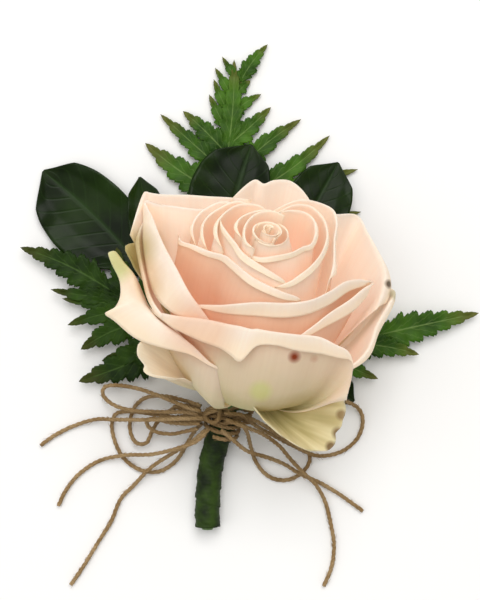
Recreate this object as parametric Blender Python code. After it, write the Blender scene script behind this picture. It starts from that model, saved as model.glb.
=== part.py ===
"""A rose boutonniere lying on its back: one pale pink rose, three fern fronds, five dark leaves,
a taped stem bundle and a jute twine bow.

The table is the plane z = 0, +Z points up from it and +Y runs from the cut stems to the fern's tip.
All sizes below are in millimetres and degrees; MM turns them into Blender's metres.
"""

import math

import bmesh
import bpy
from mathutils import Matrix, Vector

MM = 0.001

# ---- driving dimensions -------------------------------------------------------------------------
PETAL_THICK = 0.8
LEAF_THICK = 0.7
TWINE = 1.7  # diameter of the jute twine
TOUCH = 0.3  # gap kept between pieces that touch

MIDDLE = Vector((3.0, 4.2, 0.0))  # of everything but the free twine, on the table
BLOOM_BASE = Vector((2.5, -27.0, 14.0))  # where the petals leave the hip
BLOOM_TILT = 50  # of the bloom's axis from straight up, towards +Y
BLOOM_LEAN = 12  # of that axis to the right

# ---- small helpers ------------------------------------------------------------------------------


def material(name, colour, roughness):
    made = bpy.data.materials.new(name)
    made.use_nodes = True
    shader = made.node_tree.nodes["Principled BSDF"]
    shader.inputs["Base Color"].default_value = (*colour, 1.0)
    shader.inputs["Roughness"].default_value = roughness
    shader.inputs["Metallic"].default_value = 0.0
    return made


def mix(a, b, share):
    return a + (b - a) * share


def through(points, share):
    """The point at share (0 to 1) of a smooth curve through evenly spaced points."""
    spans = len(points) - 1
    at = min(max(share, 0.0), 1.0) * spans
    i = min(int(at), spans - 1)
    f = at - i
    p1, p2 = points[i], points[i + 1]
    p0 = points[i - 1] if i else p1 * 2 - p2
    p3 = points[i + 2] if i + 2 <= spans else p2 * 2 - p1
    return (p1 * 2 + (p2 - p0) * f + (p0 * 2 - p1 * 5 + p2 * 4 - p3) * f**2
            + (p1 * 3 - p0 - p2 * 3 + p3) * f**3) * 0.5


def bloom_frame():
    """Columns: two directions across the bloom and its axis. Angle 0 is the right side, 90 the far side."""
    tilt, lean = math.radians(BLOOM_TILT), math.radians(BLOOM_LEAN)
    right = Vector((math.cos(lean), -math.sin(lean), 0.0))
    axis = Vector((math.sin(tilt) * math.sin(lean), math.sin(tilt) * math.cos(lean), math.cos(tilt)))
    far = axis.cross(right)
    return Matrix((right, far, axis)).transposed()


def round_bloom(angle, radius, height):
    """A point in the bloom's own frame, from its angle round the axis, radius and height."""
    turn = math.radians(angle)
    return Vector((radius * math.cos(turn), radius * math.sin(turn), height))


# ---- the rose's petals --------------------------------------------------------------------------
# Each row is one petal: its layer, counted outwards from the bud, and its rim, from one side edge to
# the other, as (angle round the bloom, radius, height up the axis, how far the lip rolls out, how far
# it drops).
PETALS = {
    "bud_core": (0, [(160, 7, 60, 0.3, 0.4), (115, 6, 61, 0.3, 0.4), (75, 3.5, 61, 0.3, 0.4),
                     (0, 1.8, 60, 0.3, 0.4), (280, 3, 59, 0.3, 0.4)]),
    "bud_right": (1, [(100, 8, 60, 0.4, 0.5), (60, 5.5, 60.5, 0.5, 0.6), (20, 4.6, 59.5, 0.5, 0.6),
                      (-30, 4.8, 58, 0.5, 0.6), (-70, 5.8, 57, 0.4, 0.5)]),
    "bud_front": (2, [(310, 5.8, 56.5, 0.4, 0.5), (280, 6.6, 56.5, 0.5, 0.6), (245, 8.2, 57, 0.5, 0.6),
                      (212, 9.4, 57.5, 0.4, 0.5)]),
    "bud_left": (3, [(225, 9.4, 56, 0.4, 0.5), (185, 10.4, 58, 0.5, 0.6), (150, 10.6, 59, 0.5, 0.6),
                     (118, 10.2, 59.5, 0.4, 0.5)]),
    "ring_inner": (4, [(216, 10.4, 53.5, 0.5, 0.8), (258, 8.2, 54.5, 0.8, 1), (318, 6.6, 56, 0.8, 1),
                       (380, 9.6, 56.5, 0.8, 1), (410, 14.5, 57, 1, 1.2), (435, 17.5, 58, 1, 1.2),
                       (460, 15, 58, 0.8, 1), (482, 12.6, 58, 0.5, 0.8)]),
    "left_face": (5, [(125, 14, 56.5, 0.5, 0.8), (145, 15.4, 56.5, 0.8, 1), (163, 15.4, 54.5, 0.8, 1),
                      (190, 12.6, 52, 0.5, 0.8)]),
    "ring_outer": (6, [(296, 9.4, 50, 0.6, 1), (332, 9.6, 52.5, 1, 1.4), (370, 13, 54, 1, 1.4),
                       (396, 17, 55, 1, 1.4), (420, 21, 56, 1.2, 1.6), (440, 21.5, 56, 1, 1.4),
                       (458, 18.5, 56, 0.6, 1)]),
    "left_fold": (6.5, [(186, 16.6, 47, 0.5, 0.8), (164, 20, 51, 0.8, 1), (149, 19.6, 53.5, 0.8, 1),
                        (134, 17.6, 55, 0.8, 1), (116, 16, 56, 0.5, 0.8)]),
    "heart_left": (7, [(158, 18, 49, 0.6, 1), (174, 13.5, 51, 1, 1.4), (212, 10, 51.5, 1, 1.4),
                       (256, 8.6, 51, 1, 1.4), (298, 10.4, 48.5, 0.6, 1)]),
    "inner_left": (8, [(160, 31, 42.5, 0.8, 2), (169, 24, 46, 1.4, 2.4), (183, 16, 48, 1.4, 2.4),
                       (225, 11.4, 48.5, 1.4, 2.4), (268, 10, 48.5, 1.4, 2.4), (306, 12, 46, 0.8, 1.5)]),
    "left_mid": (9, [(190, 23, 44, 0.6, 1), (168, 26, 49, 1, 1.5), (151, 25, 52, 1, 1.5),
                     (134, 23.4, 53.5, 1, 1.5), (110, 21, 54.5, 0.6, 1)]),
    "right_mid": (9, [(460, 26, 53, 0.6, 1), (430, 28.5, 54, 1, 1.5), (408, 25, 51.5, 1.5, 3),
                      (392, 20.5, 49.5, 1.5, 3), (370, 16.5, 47, 1, 2), (350, 14, 45, 0.6, 1)]),
    "inner_right": (10, [(210, 18.5, 36.5, 0.4, 1.5), (234, 13.6, 41, 0.8, 4.5), (303, 13.4, 44, 1.2, 5.5),
                         (345, 15, 45, 1.2, 5), (375, 19, 44.5, 1.5, 5), (384, 26, 42, 1, 3)]),
    "right_front": (11, [(312, 17, 35, 0.5, 1), (336, 18.5, 38.5, 1.5, 4), (362, 23, 39.5, 2, 5),
                         (380, 31, 38.5, 1.5, 3)]),
    "left": (11, [(134, 25.5, 49, 0.5, 1), (148, 33, 48, 0.5, 1.5), (155, 45, 46, 0, 2), (174, 33, 46.5, 5, 8),
                  (191, 27, 45, 6, 10), (209, 25, 42, 6, 9), (228, 22, 39, 2, 4)]),
    "back_top": (11.5, [(124, 30, 49, 1, 1), (110, 36, 50.5, 2, 1.5), (101, 33.5, 51.5, 2, 2),
                        (93, 38, 51.5, 2, 2), (84, 36, 51.5, 2, 2), (70, 30, 50, 1, 1)]),
    "right_top": (12.5, [(80, 32, 48, 1, 1), (64, 38, 47, 1, 2), (50, 31, 48, 4, 6), (31, 28, 46, 6, 8),
                         (18, 32, 41, 4, 4), (4, 31, 38, 1, 3)]),
    "back_left": (12.5, [(168, 43, 41, 0, 1), (154, 47, 45, 0.5, 0.5), (143, 41, 46, 2, 1.5),
                         (131, 35, 48, 2, 1.5), (116, 32, 49, 1.5, 1), (100, 30, 49, 1, 1)]),
    "right_low": (13.5, [(42, 30, 38, 1, 1), (21, 37, 36, 0.5, 1), (0, 31, 33, 1, 1.5), (-20, 30, 31, 1, 1.5),
                         (-34, 30, 30, 1, 1.5)]),
    "low_left": (13.5, [(163, 46, 33, 1, 1), (173, 43, 31, 1, 1), (189, 44, 28, 1, 3), (201, 35, 29, 6, 7),
                        (216, 29, 30, 5, 9), (236, 24, 29, 2, 8), (258, 18, 26, 1, 4)]),
    "front": (14.5, [(200, 32, 31, 0, 1), (214, 26, 35, 1, 4), (233, 22, 38, 1.5, 5), (252, 20, 39, 2.5, 7.5),
                     (272, 19, 39, 0.8, 2.5), (304, 18, 38, 1, 3), (324, 23, 36, 1.5, 3), (332, 28, 33, 1, 2),
                     (321, 34, 25, 0.5, 1)]),
    "guard_right": (16, [(268, 17, 5, 0, 0), (284, 24, 4, 1, -2), (303, 30.5, 4, 1, -2), (320, 33.5, 7, 2, -1),
                         (329, 32, 12, 2, 1), (333, 30.5, 18, 0, 0)]),
    "guard_left": (16, [(200, 27, 20, 0, 0), (207, 33.5, 18, 1, 0), (213, 32, 16, 1.5, 1),
                        (222, 25, 13, 0, 0)]),
}
PETAL_STEP = 6.5  # along the rim
PETAL_ROLL = 2.6  # a lip narrower than this is left out
PETAL_RISE = 4  # steps from the claw to the rim
CLAW_SPREAD = 35  # half the angle that a petal's claw takes round the hip
CLAW_RADIUS = 2.0  # of the innermost petal's claw, sunk in the core
CLAW_STEP = 0.09  # further out for each layer
CLAW_HEIGHT = 1.0
BUD_BELLY = 7.0  # radius of the innermost petal's belly
LAYER_STEP = 1.15  # each further layer's belly is this much wider
# the core that the petals stand out of, as (radius, height)
CORE = [(4.4, 0.0), (11.0, 3.6), (14.0, 11.0), (13.0, 22.0), (9.5, 34.0), (7.0, 43.0), (2.5, 53.0)]


def petal_profile(belly, claw, rim, lip, lip_steps):
    """The rows of one column: up from the claw, out over the belly, up to the rim and over the lip."""
    flat = Vector((rim.x, rim.y, 0.0))
    outward = flat.normalized()
    lift = Vector((0.0, 0.0, 1.0))
    low = outward * belly * 1.02 + lift * rim.z * 0.10
    high = outward * mix(belly * 1.08, flat.length, 0.2) + lift * rim.z * 0.62
    rows = []
    for k in range(PETAL_RISE + 1):
        t = k / PETAL_RISE
        rows.append(claw * (1 - t) ** 3 + low * 3 * t * (1 - t) ** 2 + high * 3 * t**2 * (1 - t) + rim * t**3)
    rise = (rim - high).normalized() * 0.45 * (lip - rim).length
    for k in range(1, lip_steps + 1):
        t = k / lip_steps
        rows.append(rim * (1 - t) ** 2 + (rim + rise) * 2 * t * (1 - t) + lip * t**2)
    return rows


def petal_sheet(layer, rim_points):
    """The petal's grid of points, column by column, in the bloom's frame."""
    rims = [round_bloom(a, r, h) for a, r, h, _, _ in rim_points]
    lips = [round_bloom(a, r + out, h - drop) for a, r, h, out, drop in rim_points]
    middle = sum(p[0] for p in rim_points) / len(rim_points)
    length = sum((b - a).length for a, b in zip(rims, rims[1:]))
    count = max(6, round(length / PETAL_STEP))
    widest = max((b - a).length for a, b in zip(rims, lips))
    lip_steps = 2 if widest > PETAL_ROLL else 0
    columns = []
    for k in range(count + 1):
        share = k / count
        claw_angle = middle + mix(-CLAW_SPREAD, CLAW_SPREAD, share)
        claw = round_bloom(claw_angle, CLAW_RADIUS + CLAW_STEP * layer, CLAW_HEIGHT)
        belly = BUD_BELLY + LAYER_STEP * layer
        columns.append(petal_profile(belly, claw, through(rims, share), through(lips, share), lip_steps))
    return columns if rim_points[0][0] < rim_points[-1][0] else columns[::-1]


# ---- solids from grids, curves and unions -------------------------------------------------------

SAME_POINT = 1e-8  # metres: corners this close, left by a union, are one
CAP_SEAM = 1e-7  # metres: a curve's cap is this close to its side

def finish_mesh(name, mesh, group):
    made = bpy.data.objects.new(name, bpy.data.meshes.new(name))
    mesh.to_mesh(made.data)
    mesh.free()
    group.objects.link(made)
    return made


def blade(name, columns, thickness, group, place=None, upright=False):
    """A grid of points as a closed blade of even thickness, its two faces split alike.

    The grid is a petal's outer face, or with upright a lying leaf's lower face.
    """
    mesh = bmesh.new()
    grid = [[mesh.verts.new((place @ p if place else p) * MM) for p in column] for column in columns]
    for left, right in zip(grid, grid[1:]):
        for k in range(len(left) - 1):
            mesh.faces.new((left[k], right[k], right[k + 1], left[k + 1]))
    bmesh.ops.triangulate(mesh, faces=mesh.faces[:])
    mesh.normal_update()
    edges = [e for e in mesh.edges if e.is_boundary]
    lift = Vector((0.0, 0.0, -thickness))
    other = {v: mesh.verts.new(v.co - (lift if upright else v.normal * thickness) * MM) for v in mesh.verts[:]}
    for face in mesh.faces[:]:
        mesh.faces.new([other[v] for v in reversed(face.verts)])
    for edge in edges:
        a, b = edge.verts
        mesh.faces.new((a, b, other[b], other[a]))
    bmesh.ops.triangulate(mesh, faces=[f for f in mesh.faces if len(f.verts) > 3])
    bmesh.ops.recalc_face_normals(mesh, faces=mesh.faces[:])
    return finish_mesh(name, mesh, group)


def round_curve(name, points, radius, group, radii=None, resolution=2):
    """A tube along points, with filled caps; radii scales its thickness point by point."""
    curve = bpy.data.curves.new(name, "CURVE")
    curve.dimensions = "3D"
    curve.bevel_depth = radius * MM
    curve.bevel_resolution = resolution
    curve.use_fill_caps = True
    spline = curve.splines.new("POLY")
    spline.points.add(len(points) - 1)
    for k, point in enumerate(points):
        spline.points[k].co = (*(point * MM), 1.0)
        spline.points[k].radius = radii[k] if radii else 1.0
    made = bpy.data.objects.new(name, curve)
    group.objects.link(made)
    return made


def as_mesh(tube, group):
    """The curve object's solid as a mesh object, its caps welded on."""
    graph = bpy.context.evaluated_depsgraph_get()
    mesh = bmesh.new()
    found = bpy.data.meshes.new_from_object(tube.evaluated_get(graph))
    mesh.from_mesh(found)
    bmesh.ops.remove_doubles(mesh, verts=mesh.verts[:], dist=CAP_SEAM)
    bmesh.ops.recalc_face_normals(mesh, faces=mesh.faces[:])
    name = tube.name
    bpy.data.objects.remove(tube)
    return finish_mesh(name, mesh, group)


def rod(name, points, radius, group, radii=None, resolution=0):
    return as_mesh(round_curve(name, points, radius, group, radii, resolution), group)


def fuse(name, pieces, group, finish, solver="EXACT"):
    """One body from overlapping pieces: a union, without sealed hollows or loose scraps.

    The exact solver pinches edges where many petals cross at their claws, so the rose takes MANIFOLD.
    """
    joined = bpy.data.collections.new(name + "_pieces")
    bpy.context.scene.collection.children.link(joined)
    first = pieces[0]
    for piece in pieces[1:]:
        group.objects.unlink(piece)
        joined.objects.link(piece)
    union = first.modifiers.new("join", "BOOLEAN")
    union.operation = "UNION"
    union.operand_type = "COLLECTION"
    union.collection = joined
    union.solver = solver
    bpy.context.view_layer.update()
    graph = bpy.context.evaluated_depsgraph_get()
    mesh = bmesh.new()
    mesh.from_mesh(bpy.data.meshes.new_from_object(first.evaluated_get(graph)))
    for piece in pieces:
        bpy.data.objects.remove(piece)
    bpy.data.collections.remove(joined)
    bmesh.ops.triangulate(mesh, faces=mesh.faces[:])
    if solver == "EXACT":
        bmesh.ops.remove_doubles(mesh, verts=mesh.verts[:], dist=SAME_POINT)
    keep_body(mesh)
    made = finish_mesh(name, mesh, group)
    made.data.materials.clear()
    made.data.materials.append(finish)
    return made


def keep_body(mesh):
    """Keeps only the largest shell of faces, without sealed hollows or scraps.

    A hollow may touch the body along one edge, so a shell isn't followed past an edge of three or
    more faces.
    """
    left = set(mesh.faces)
    shells = []
    while left:
        shell = [left.pop()]
        for face in shell:
            for edge in face.edges:
                if len(edge.link_faces) != 2:
                    continue
                for other in edge.link_faces:
                    if other in left:
                        left.discard(other)
                        shell.append(other)
        shells.append(shell)
    shells.sort(key=len)
    scraps = [face for shell in shells[:-1] for face in shell]
    bmesh.ops.delete(mesh, geom=scraps, context="FACES")
    bmesh.ops.delete(mesh, geom=[v for v in mesh.verts if not v.link_faces], context="VERTS")


# ---- the stem bundle ----------------------------------------------------------------------------

STEM_RADIUS = 1.7
STALK_RADIUS = 0.45
STALK_RING = STEM_RADIUS + TOUCH + STALK_RADIUS  # the stalks lie round the rose's stem
TAPE_BORE = (STALK_RING + STALK_RADIUS + 0.2) / math.cos(math.pi / 8)  # eight-sided
TAPE_BORE_LENGTH = 40.0  # past the tape's end, so that the bore runs right through
TAPE_RADIUS = 4.0
TAPE_RIDGE = 0.2
TAPE_START = 1.5  # from the mouth
TAPE_END = 38.3

MOUTH = Vector((-3.6, -32.4, 8.6))  # where the stalks leave the tape
BUNDLE = [MOUTH, Vector((-5.5, -38.5, 6.9)), Vector((-7.3, -44.0, 5.4)), Vector((-8.8, -50.0, 4.3)),
          Vector((-9.6, -57.0, 4.0)), Vector((-9.9, -64.0, 4.0)), Vector((-9.9, -72.0, 4.0))]
# the bare stem and the hip
NECK = [Vector((-2.7, -31.9, 9.2)), Vector((-1.3, -31.4, 10.0)), Vector((0.3, -30.6, 10.9)),
        Vector((1.5, -29.5, 11.9)), Vector((2.1, -28.4, 12.8)), Vector((2.42, -27.3, 13.74))]
NECK_RADII = [1.7, 1.9, 2.4, 3.0, 3.4, 3.5]
SEPALS = 5
SEPAL_REACH = 7.5
SEPAL_HALF_WIDTH = 2.1


def bundle_point(distance, angle=0.0, radius=0.0):
    """A point beside the bundle's centre line, so far from the tape's mouth; angle 270 is below."""
    total = sum((b - a).length for a, b in zip(BUNDLE, BUNDLE[1:]))
    share = distance / total
    here = through(BUNDLE, share)
    before = through(BUNDLE, share - 0.01 if share > 0.01 else 0.0)
    along = (through(BUNDLE, share + 0.01) - before).normalized()
    side = along.cross(Vector((0, 0, 1))).normalized() * -1
    up = side.cross(along).normalized()
    if up.z < 0:
        up = -up
    turn = math.radians(angle)
    return here + (side * math.cos(turn) + up * math.sin(turn)) * radius


def stalk_points(angle, route):
    """A stalk's centre line: from inside the tape, out of its mouth and on along its route."""
    inside = [bundle_point(d, angle, STALK_RING) for d in (9.0, 6.0, 3.0, 0.3)]
    return inside + smooth_route([inside[-1]] + [Vector(p) for p in route], 4.5)[1:]


def smooth_route(points, step):
    """Points about step apart along a smooth curve through the given ones."""
    length = sum((b - a).length for a, b in zip(points, points[1:]))
    count = max(2, round(length / step))
    return [through(points, k / count) for k in range(count + 1)]


def make_tape(finish, group):
    """The floral tape: a sleeve with a low ridge at each overlap."""
    count = 20
    centre = [bundle_point(mix(TAPE_START, TAPE_END, k / count)) for k in range(count + 1)]
    radii = [1.0 + TAPE_RIDGE / TAPE_RADIUS * (k % 3) / 2 for k in range(count + 1)]
    sleeve = rod("stem_tape", centre, TAPE_RADIUS - TAPE_RIDGE, group, radii, 2)
    bore_line = [bundle_point(TAPE_BORE_LENGTH * k / count) for k in range(count + 1)]
    bore = rod("tape_bore", bore_line, TAPE_BORE, group, None, 2)
    bore.hide_render = True
    bore.display_type = "WIRE"
    cut = sleeve.modifiers.new("bore", "BOOLEAN")
    cut.operation = "DIFFERENCE"
    cut.object = bore
    bpy.context.view_layer.update()
    graph = bpy.context.evaluated_depsgraph_get()
    solid = bpy.data.meshes.new_from_object(sleeve.evaluated_get(graph))
    sleeve.modifiers.remove(cut)
    sleeve.data = solid
    bpy.data.objects.remove(bore)
    sleeve.data.materials.append(finish)


def make_stem(finish, group):
    """The rose's cut stem, its neck and hip, and the sepals under the petals."""
    stem = [bundle_point(39.0 - 3.0 * k) for k in range(13)] + NECK
    radii = [1.0] * 13 + [r / STEM_RADIUS for r in NECK_RADII]
    pieces = [rod("stem", stem, STEM_RADIUS, group, radii, 1)]
    frame = bloom_frame().to_4x4()
    frame.translation = BLOOM_BASE
    for k in range(SEPALS):
        angle = 360.0 / SEPALS * k + 20.0
        columns = []
        for side in (-1.0, 0.0, 1.0):
            column = []
            for j in range(5):
                t = j / 4
                width = SEPAL_HALF_WIDTH * math.sqrt(1 - t) + 0.3
                foot = round_bloom(angle, mix(1.5, SEPAL_REACH, t), -1.0 - 0.8 * t)
                column.append(foot + round_bloom(angle + 90.0, side * width, 0.0))
            columns.append(column)
        pieces.append(blade(f"sepal_{k}", columns, LEAF_THICK, group, frame))
    fuse("rose_stem", pieces, group, finish, "MANIFOLD")


def make_bloom(finish, group):
    frame = bloom_frame().to_4x4()
    frame.translation = BLOOM_BASE
    heart = rod("heart", [frame @ Vector((0, 0, h)) for _, h in CORE], 1.0, group, [r for r, _ in CORE], 2)
    pieces = [heart]
    for name, (layer, rim) in PETALS.items():
        pieces.append(blade(name, petal_sheet(layer, rim), PETAL_THICK, group, frame))
    fuse("rose_bloom", pieces, group, finish, "MANIFOLD")


# ---- the dark leaves ----------------------------------------------------------------------------
# angle of the stalk in the bundle, its route from the tape to the blade, the blade's spine from
# base to tip, half widths left and right of it, and how far the edges rise.
LEAVES = {
    "leaf_left": (183, [(-7.3, -27.4, 5.0), (-13, -18, 3.0), (-21, -6, 1.6), (-28, 7, 0.9)],
                  [(-28, 7, 0.3), (-38, 19, 0.0), (-49, 30, 0.0), (-59.5, 39.5, 0.8)], 14.0, 12.5, 2.0),
    "leaf_left_back": (209, [(-6.3, -26.8, 3.4), (-10.6, -14, 3.2), (-17, -2, 3.2), (-23, 11, 3.2)],
                       [(-23, 11, 3.0), (-27, 21, 3.4), (-30.5, 37.5, 3.6)], 6.0, 6.0, 1.2),
    "leaf_top": (235, [(-4.6, -26, 3.6), (-5, -14, 3.2), (-5.5, 0, 3.2), (-5, 14, 3.2)],
                 [(-5, 14, 3.0), (-3, 25, 3.2), (0, 36, 3.2), (3.5, 47.5, 2.6)], 14.0, 9.5, 1.4),
    "leaf_top_right": (287, [(-0.6, -26, 4.0), (5, -15, 3.0), (9, -3, 3.0), (13, 10, 3.0)],
                       [(13, 10, 2.8), (18, 20, 3.2), (24, 31, 3.0), (30, 42, 2.4)], 9.5, 10.5, 1.2),
    "leaf_low_right": (313, [(2, -28.5, 4.4), (8, -25, 2.6), (14, -21, 1.4)],
                       [(14, -21, 0.4), (21, -23, 0.0), (28, -26.5, 0.0), (35, -31, 0.4)], 6.0, 6.0, 1.0),
}
LEAF_ROWS = [0.02, 0.12, 0.26, 0.42, 0.58, 0.73, 0.86, 0.95, 0.995]


def leaf_columns(spine, left, right, rise):
    """Five columns across the blade, left edge to right edge; rows run from base to tip."""
    spine = [Vector(p) for p in spine]
    columns = []
    for s in (-1.0, -0.5, 0.0, 0.5, 1.0):
        column = []
        for t in LEAF_ROWS:
            here = through(spine, t)
            along = (through(spine, t + 0.01) - through(spine, t - 0.01)).normalized()
            side = along.cross(Vector((0, 0, 1))).normalized()
            half = (left if s < 0 else right) * math.sqrt(4 * t * (1 - t)) * min(1.0, 0.25 + 3.0 * t)
            half *= 1.0 - 0.7 * max(0.0, (t - 0.8) / 0.2) ** 1.5  # the blade draws in to a short point
            curl = rise * (2 * abs(s) - 1) + 0.5 * math.sin(9.0 * t + 2.0 * s) * abs(s)
            lift = curl if abs(s) > 0.6 else -0.3 * (1 - 2 * abs(s))
            place = here + side * s * half
            column.append(Vector((place.x, place.y, max(0.0, here.z + lift * min(1.0, 6 * t * (1 - t))))))
        columns.append(column)
    return columns


def make_leaves(finish, group):
    for name, (angle, route, spine, left, right, rise) in LEAVES.items():
        stalk = stalk_points(angle, route)
        foot = Vector(spine[0]) + (Vector(spine[1]) - Vector(spine[0])).normalized() * 3.0
        stalk.append(foot + Vector((0, 0, LEAF_THICK)))
        columns = leaf_columns(spine, left, right, rise)
        pieces = [blade(name + "_blade", columns, LEAF_THICK, group, upright=True),
                  rod(name + "_stalk", stalk, STALK_RADIUS, group)]
        fuse(name, pieces, group, finish)


# ---- the fern fronds ----------------------------------------------------------------------------
# A frond's spine runs from the tape to its last leaflet. Its leaflets are
# (foot x, foot y, tip x, tip y, width, teeth on a side), as they lie seen from above.
FRONDS = {
    "fern_top": (261, [(-3, -24, 2.4), (-2.2, -10, 1.0), (-1.2, 8, 0.65), (-0.6, 26, 0.65), (-3.6, 42, 0.65),
                       (-3.8, 52, 0.65), (-1.5, 62, 0.65), (2.5, 71, 0.65), (5, 75, 0.65)], [
        (-3.5, 44, -17.4, 57.8, 6.4, 4), (-2.6, 38, -24.3, 56.8, 6.4, 5), (-1, 31, -29, 48.0, 9.5, 5),
        (-3.7, 47, 9.4, 59.0, 6.0, 4), (-2.4, 38, 18.6, 55.3, 6.4, 4), (-1, 31, 27.4, 50.3, 7.0, 5),
        (-0.8, 24, 36.0, 40.0, 7.0, 4), (-0.8, 16, 37.0, 27.0, 7.0, 3),
        (-3.7, 52, -9.4, 62.8, 3.8, 2), (-3.0, 57, -8.0, 67.5, 3.6, 2), (-2.0, 61, -7.6, 71.0, 3.4, 2),
        (0.2, 67, -5.4, 74.4, 3.0, 2), (-3.0, 56, 6.4, 63.0, 4.0, 2), (-1.0, 63, 3.2, 67.2, 3.4, 1),
        (0.5, 67, 1.8, 71.5, 2.8, 1), (3.0, 71.5, 8.4, 78.0, 3.6, 2)]),
    "fern_left": (157, [(-9.4, -28.6, 8.0), (-14.4, -21, 4.8), (-22, -14, 3.8), (-31, -6, 3.6), (-39, 3, 3.4),
                        (-47, 9, 3.2)], [
        (-38, 2, -66.8, 16.0, 9.0, 6), (-37, 1, -57.5, 3.2, 5.0, 3), (-36, -1, -54.0, 0.4, 4.4, 2),
        (-34, -3, -52.4, -7.6, 4.8, 2), (-30, -7, -48.4, -15.0, 5.5, 3), (-22, -13.6, -49.0, -24.8, 8.5, 5),
        (-26, -10, -22, 4, 6.0, 3), (-17, -18, -12, -2, 6.0, 3)]),
    "fern_right": (339, [(4, -28, 5.8), (12, -23.5, 4.0), (22, -18, 3.0), (33, -13, 2.6), (43, -10.5, 2.3),
                         (52, -8.5, 2.0)], [
        (40, -11.5, 72.8, -4.0, 8.5, 6), (32, -14, 54.5, -16.6, 7.0, 5), (41, -11, 48.5, -13.6, 2.6, 1),
        (30, -14.5, 45.0, 5.6, 6.0, 3), (24, -17, 42.0, -24.0, 6.0, 3), (20, -19, 26, -3, 6.0, 3)]),
}
LEAFLET_THICK = 0.7
NOTCH = 0.6  # a leaflet's half width at a notch, as a share of that at a tooth
RACHIS = 0.6  # radius at the foot of a frond


def leaflet_columns(foot, tip, width, teeth, level):
    """A toothed leaflet: two edges that swing between notch and tooth, arched over its length."""
    along = tip - foot
    side = Vector((-along.y, along.x, 0.0)).normalized()
    count = 2 * teeth + 2
    columns = []
    for s in (-1.0, 1.0):
        column = []
        for k in range(count + 1):
            t = k / count
            half = 0.85 * width * min(1.0, 0.3 + 5 * t) * (1 - t) ** 0.7
            half = max(0.35, half * (1.0 if k % 2 else NOTCH))
            reach = t + (0.45 / count if k % 2 and k < count else 0.0)
            place = foot + along * reach + side * s * half
            arch = 1.1 * math.sin(math.pi * t) + 0.2 * s * math.sin(5 * t)
            height = level + arch * min(1.0, along.length / 20.0)
            column.append(Vector((place.x, place.y, max(0.0, height))))
        columns.append(column)
    return columns


def make_fronds(finish, group):
    for name, (angle, route, leaflets) in FRONDS.items():
        spine = stalk_points(angle, route)
        radii = [mix(0.75, 1.0, min(1.0, k / 6)) * mix(1.0, 0.6, k / len(spine)) for k in range(len(spine))]
        pieces = [rod(name + "_rachis", spine, RACHIS, group, radii)]
        for k, (fx, fy, tx, ty, width, teeth) in enumerate(leaflets):
            near = min(spine, key=lambda p: (p.x - fx) ** 2 + (p.y - fy) ** 2)
            foot = Vector((fx, fy, 0.0)) + (Vector((near.x, near.y, 0.0)) - Vector((fx, fy, 0.0))) * 0.9
            level = max(0.0, near.z - 0.5 * LEAFLET_THICK - 0.1)
            columns = leaflet_columns(foot, Vector((tx, ty, 0.0)), width, teeth, level)
            pieces.append(blade(f"{name}_{k}", columns, LEAFLET_THICK, group, upright=True))
        fuse(name, pieces, group, finish)


# ---- the twine ----------------------------------------------------------------------------------

WINDING_RADIUS = TAPE_RADIUS + TOUCH + TWINE / 2
WINDING_START = 2.6  # from the mouth
WINDING_PITCH = 1.95
WINDING_TURNS = 3
KNOT = Vector((-8.0, -34.2, 14.4))
KNOT_RADIUS = 3.0


def make_binding(finish, group):
    """Three turns of twine round the tape, and the knot on top of them."""
    start, end = MOUTH, BUNDLE[1]
    along = (end - start).normalized()
    side = along.cross(Vector((0, 0, 1))).normalized() * -1
    up = side.cross(along).normalized()
    if up.z < 0:
        up = -up
    steps = 14  # round one turn
    points = []
    for k in range(WINDING_TURNS * steps + 1):
        turn = 2 * math.pi * k / steps + math.radians(110)
        centre = start + along * (WINDING_START + WINDING_PITCH * k / steps)
        points.append(centre + (side * math.cos(turn) + up * math.sin(turn)) * WINDING_RADIUS)
    winding = rod("winding", points, TWINE / 2, group, None, 1)
    ball = bmesh.new()
    bmesh.ops.create_icosphere(ball, subdivisions=2, radius=KNOT_RADIUS * MM)
    for vert in ball.verts:
        vert.co = Vector((vert.co.x * 1.15, vert.co.y, vert.co.z * 0.85)) + KNOT * MM
    knot = finish_mesh("knot_ball", ball, group)
    fuse("twine_binding", [winding, knot], group, finish)


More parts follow.
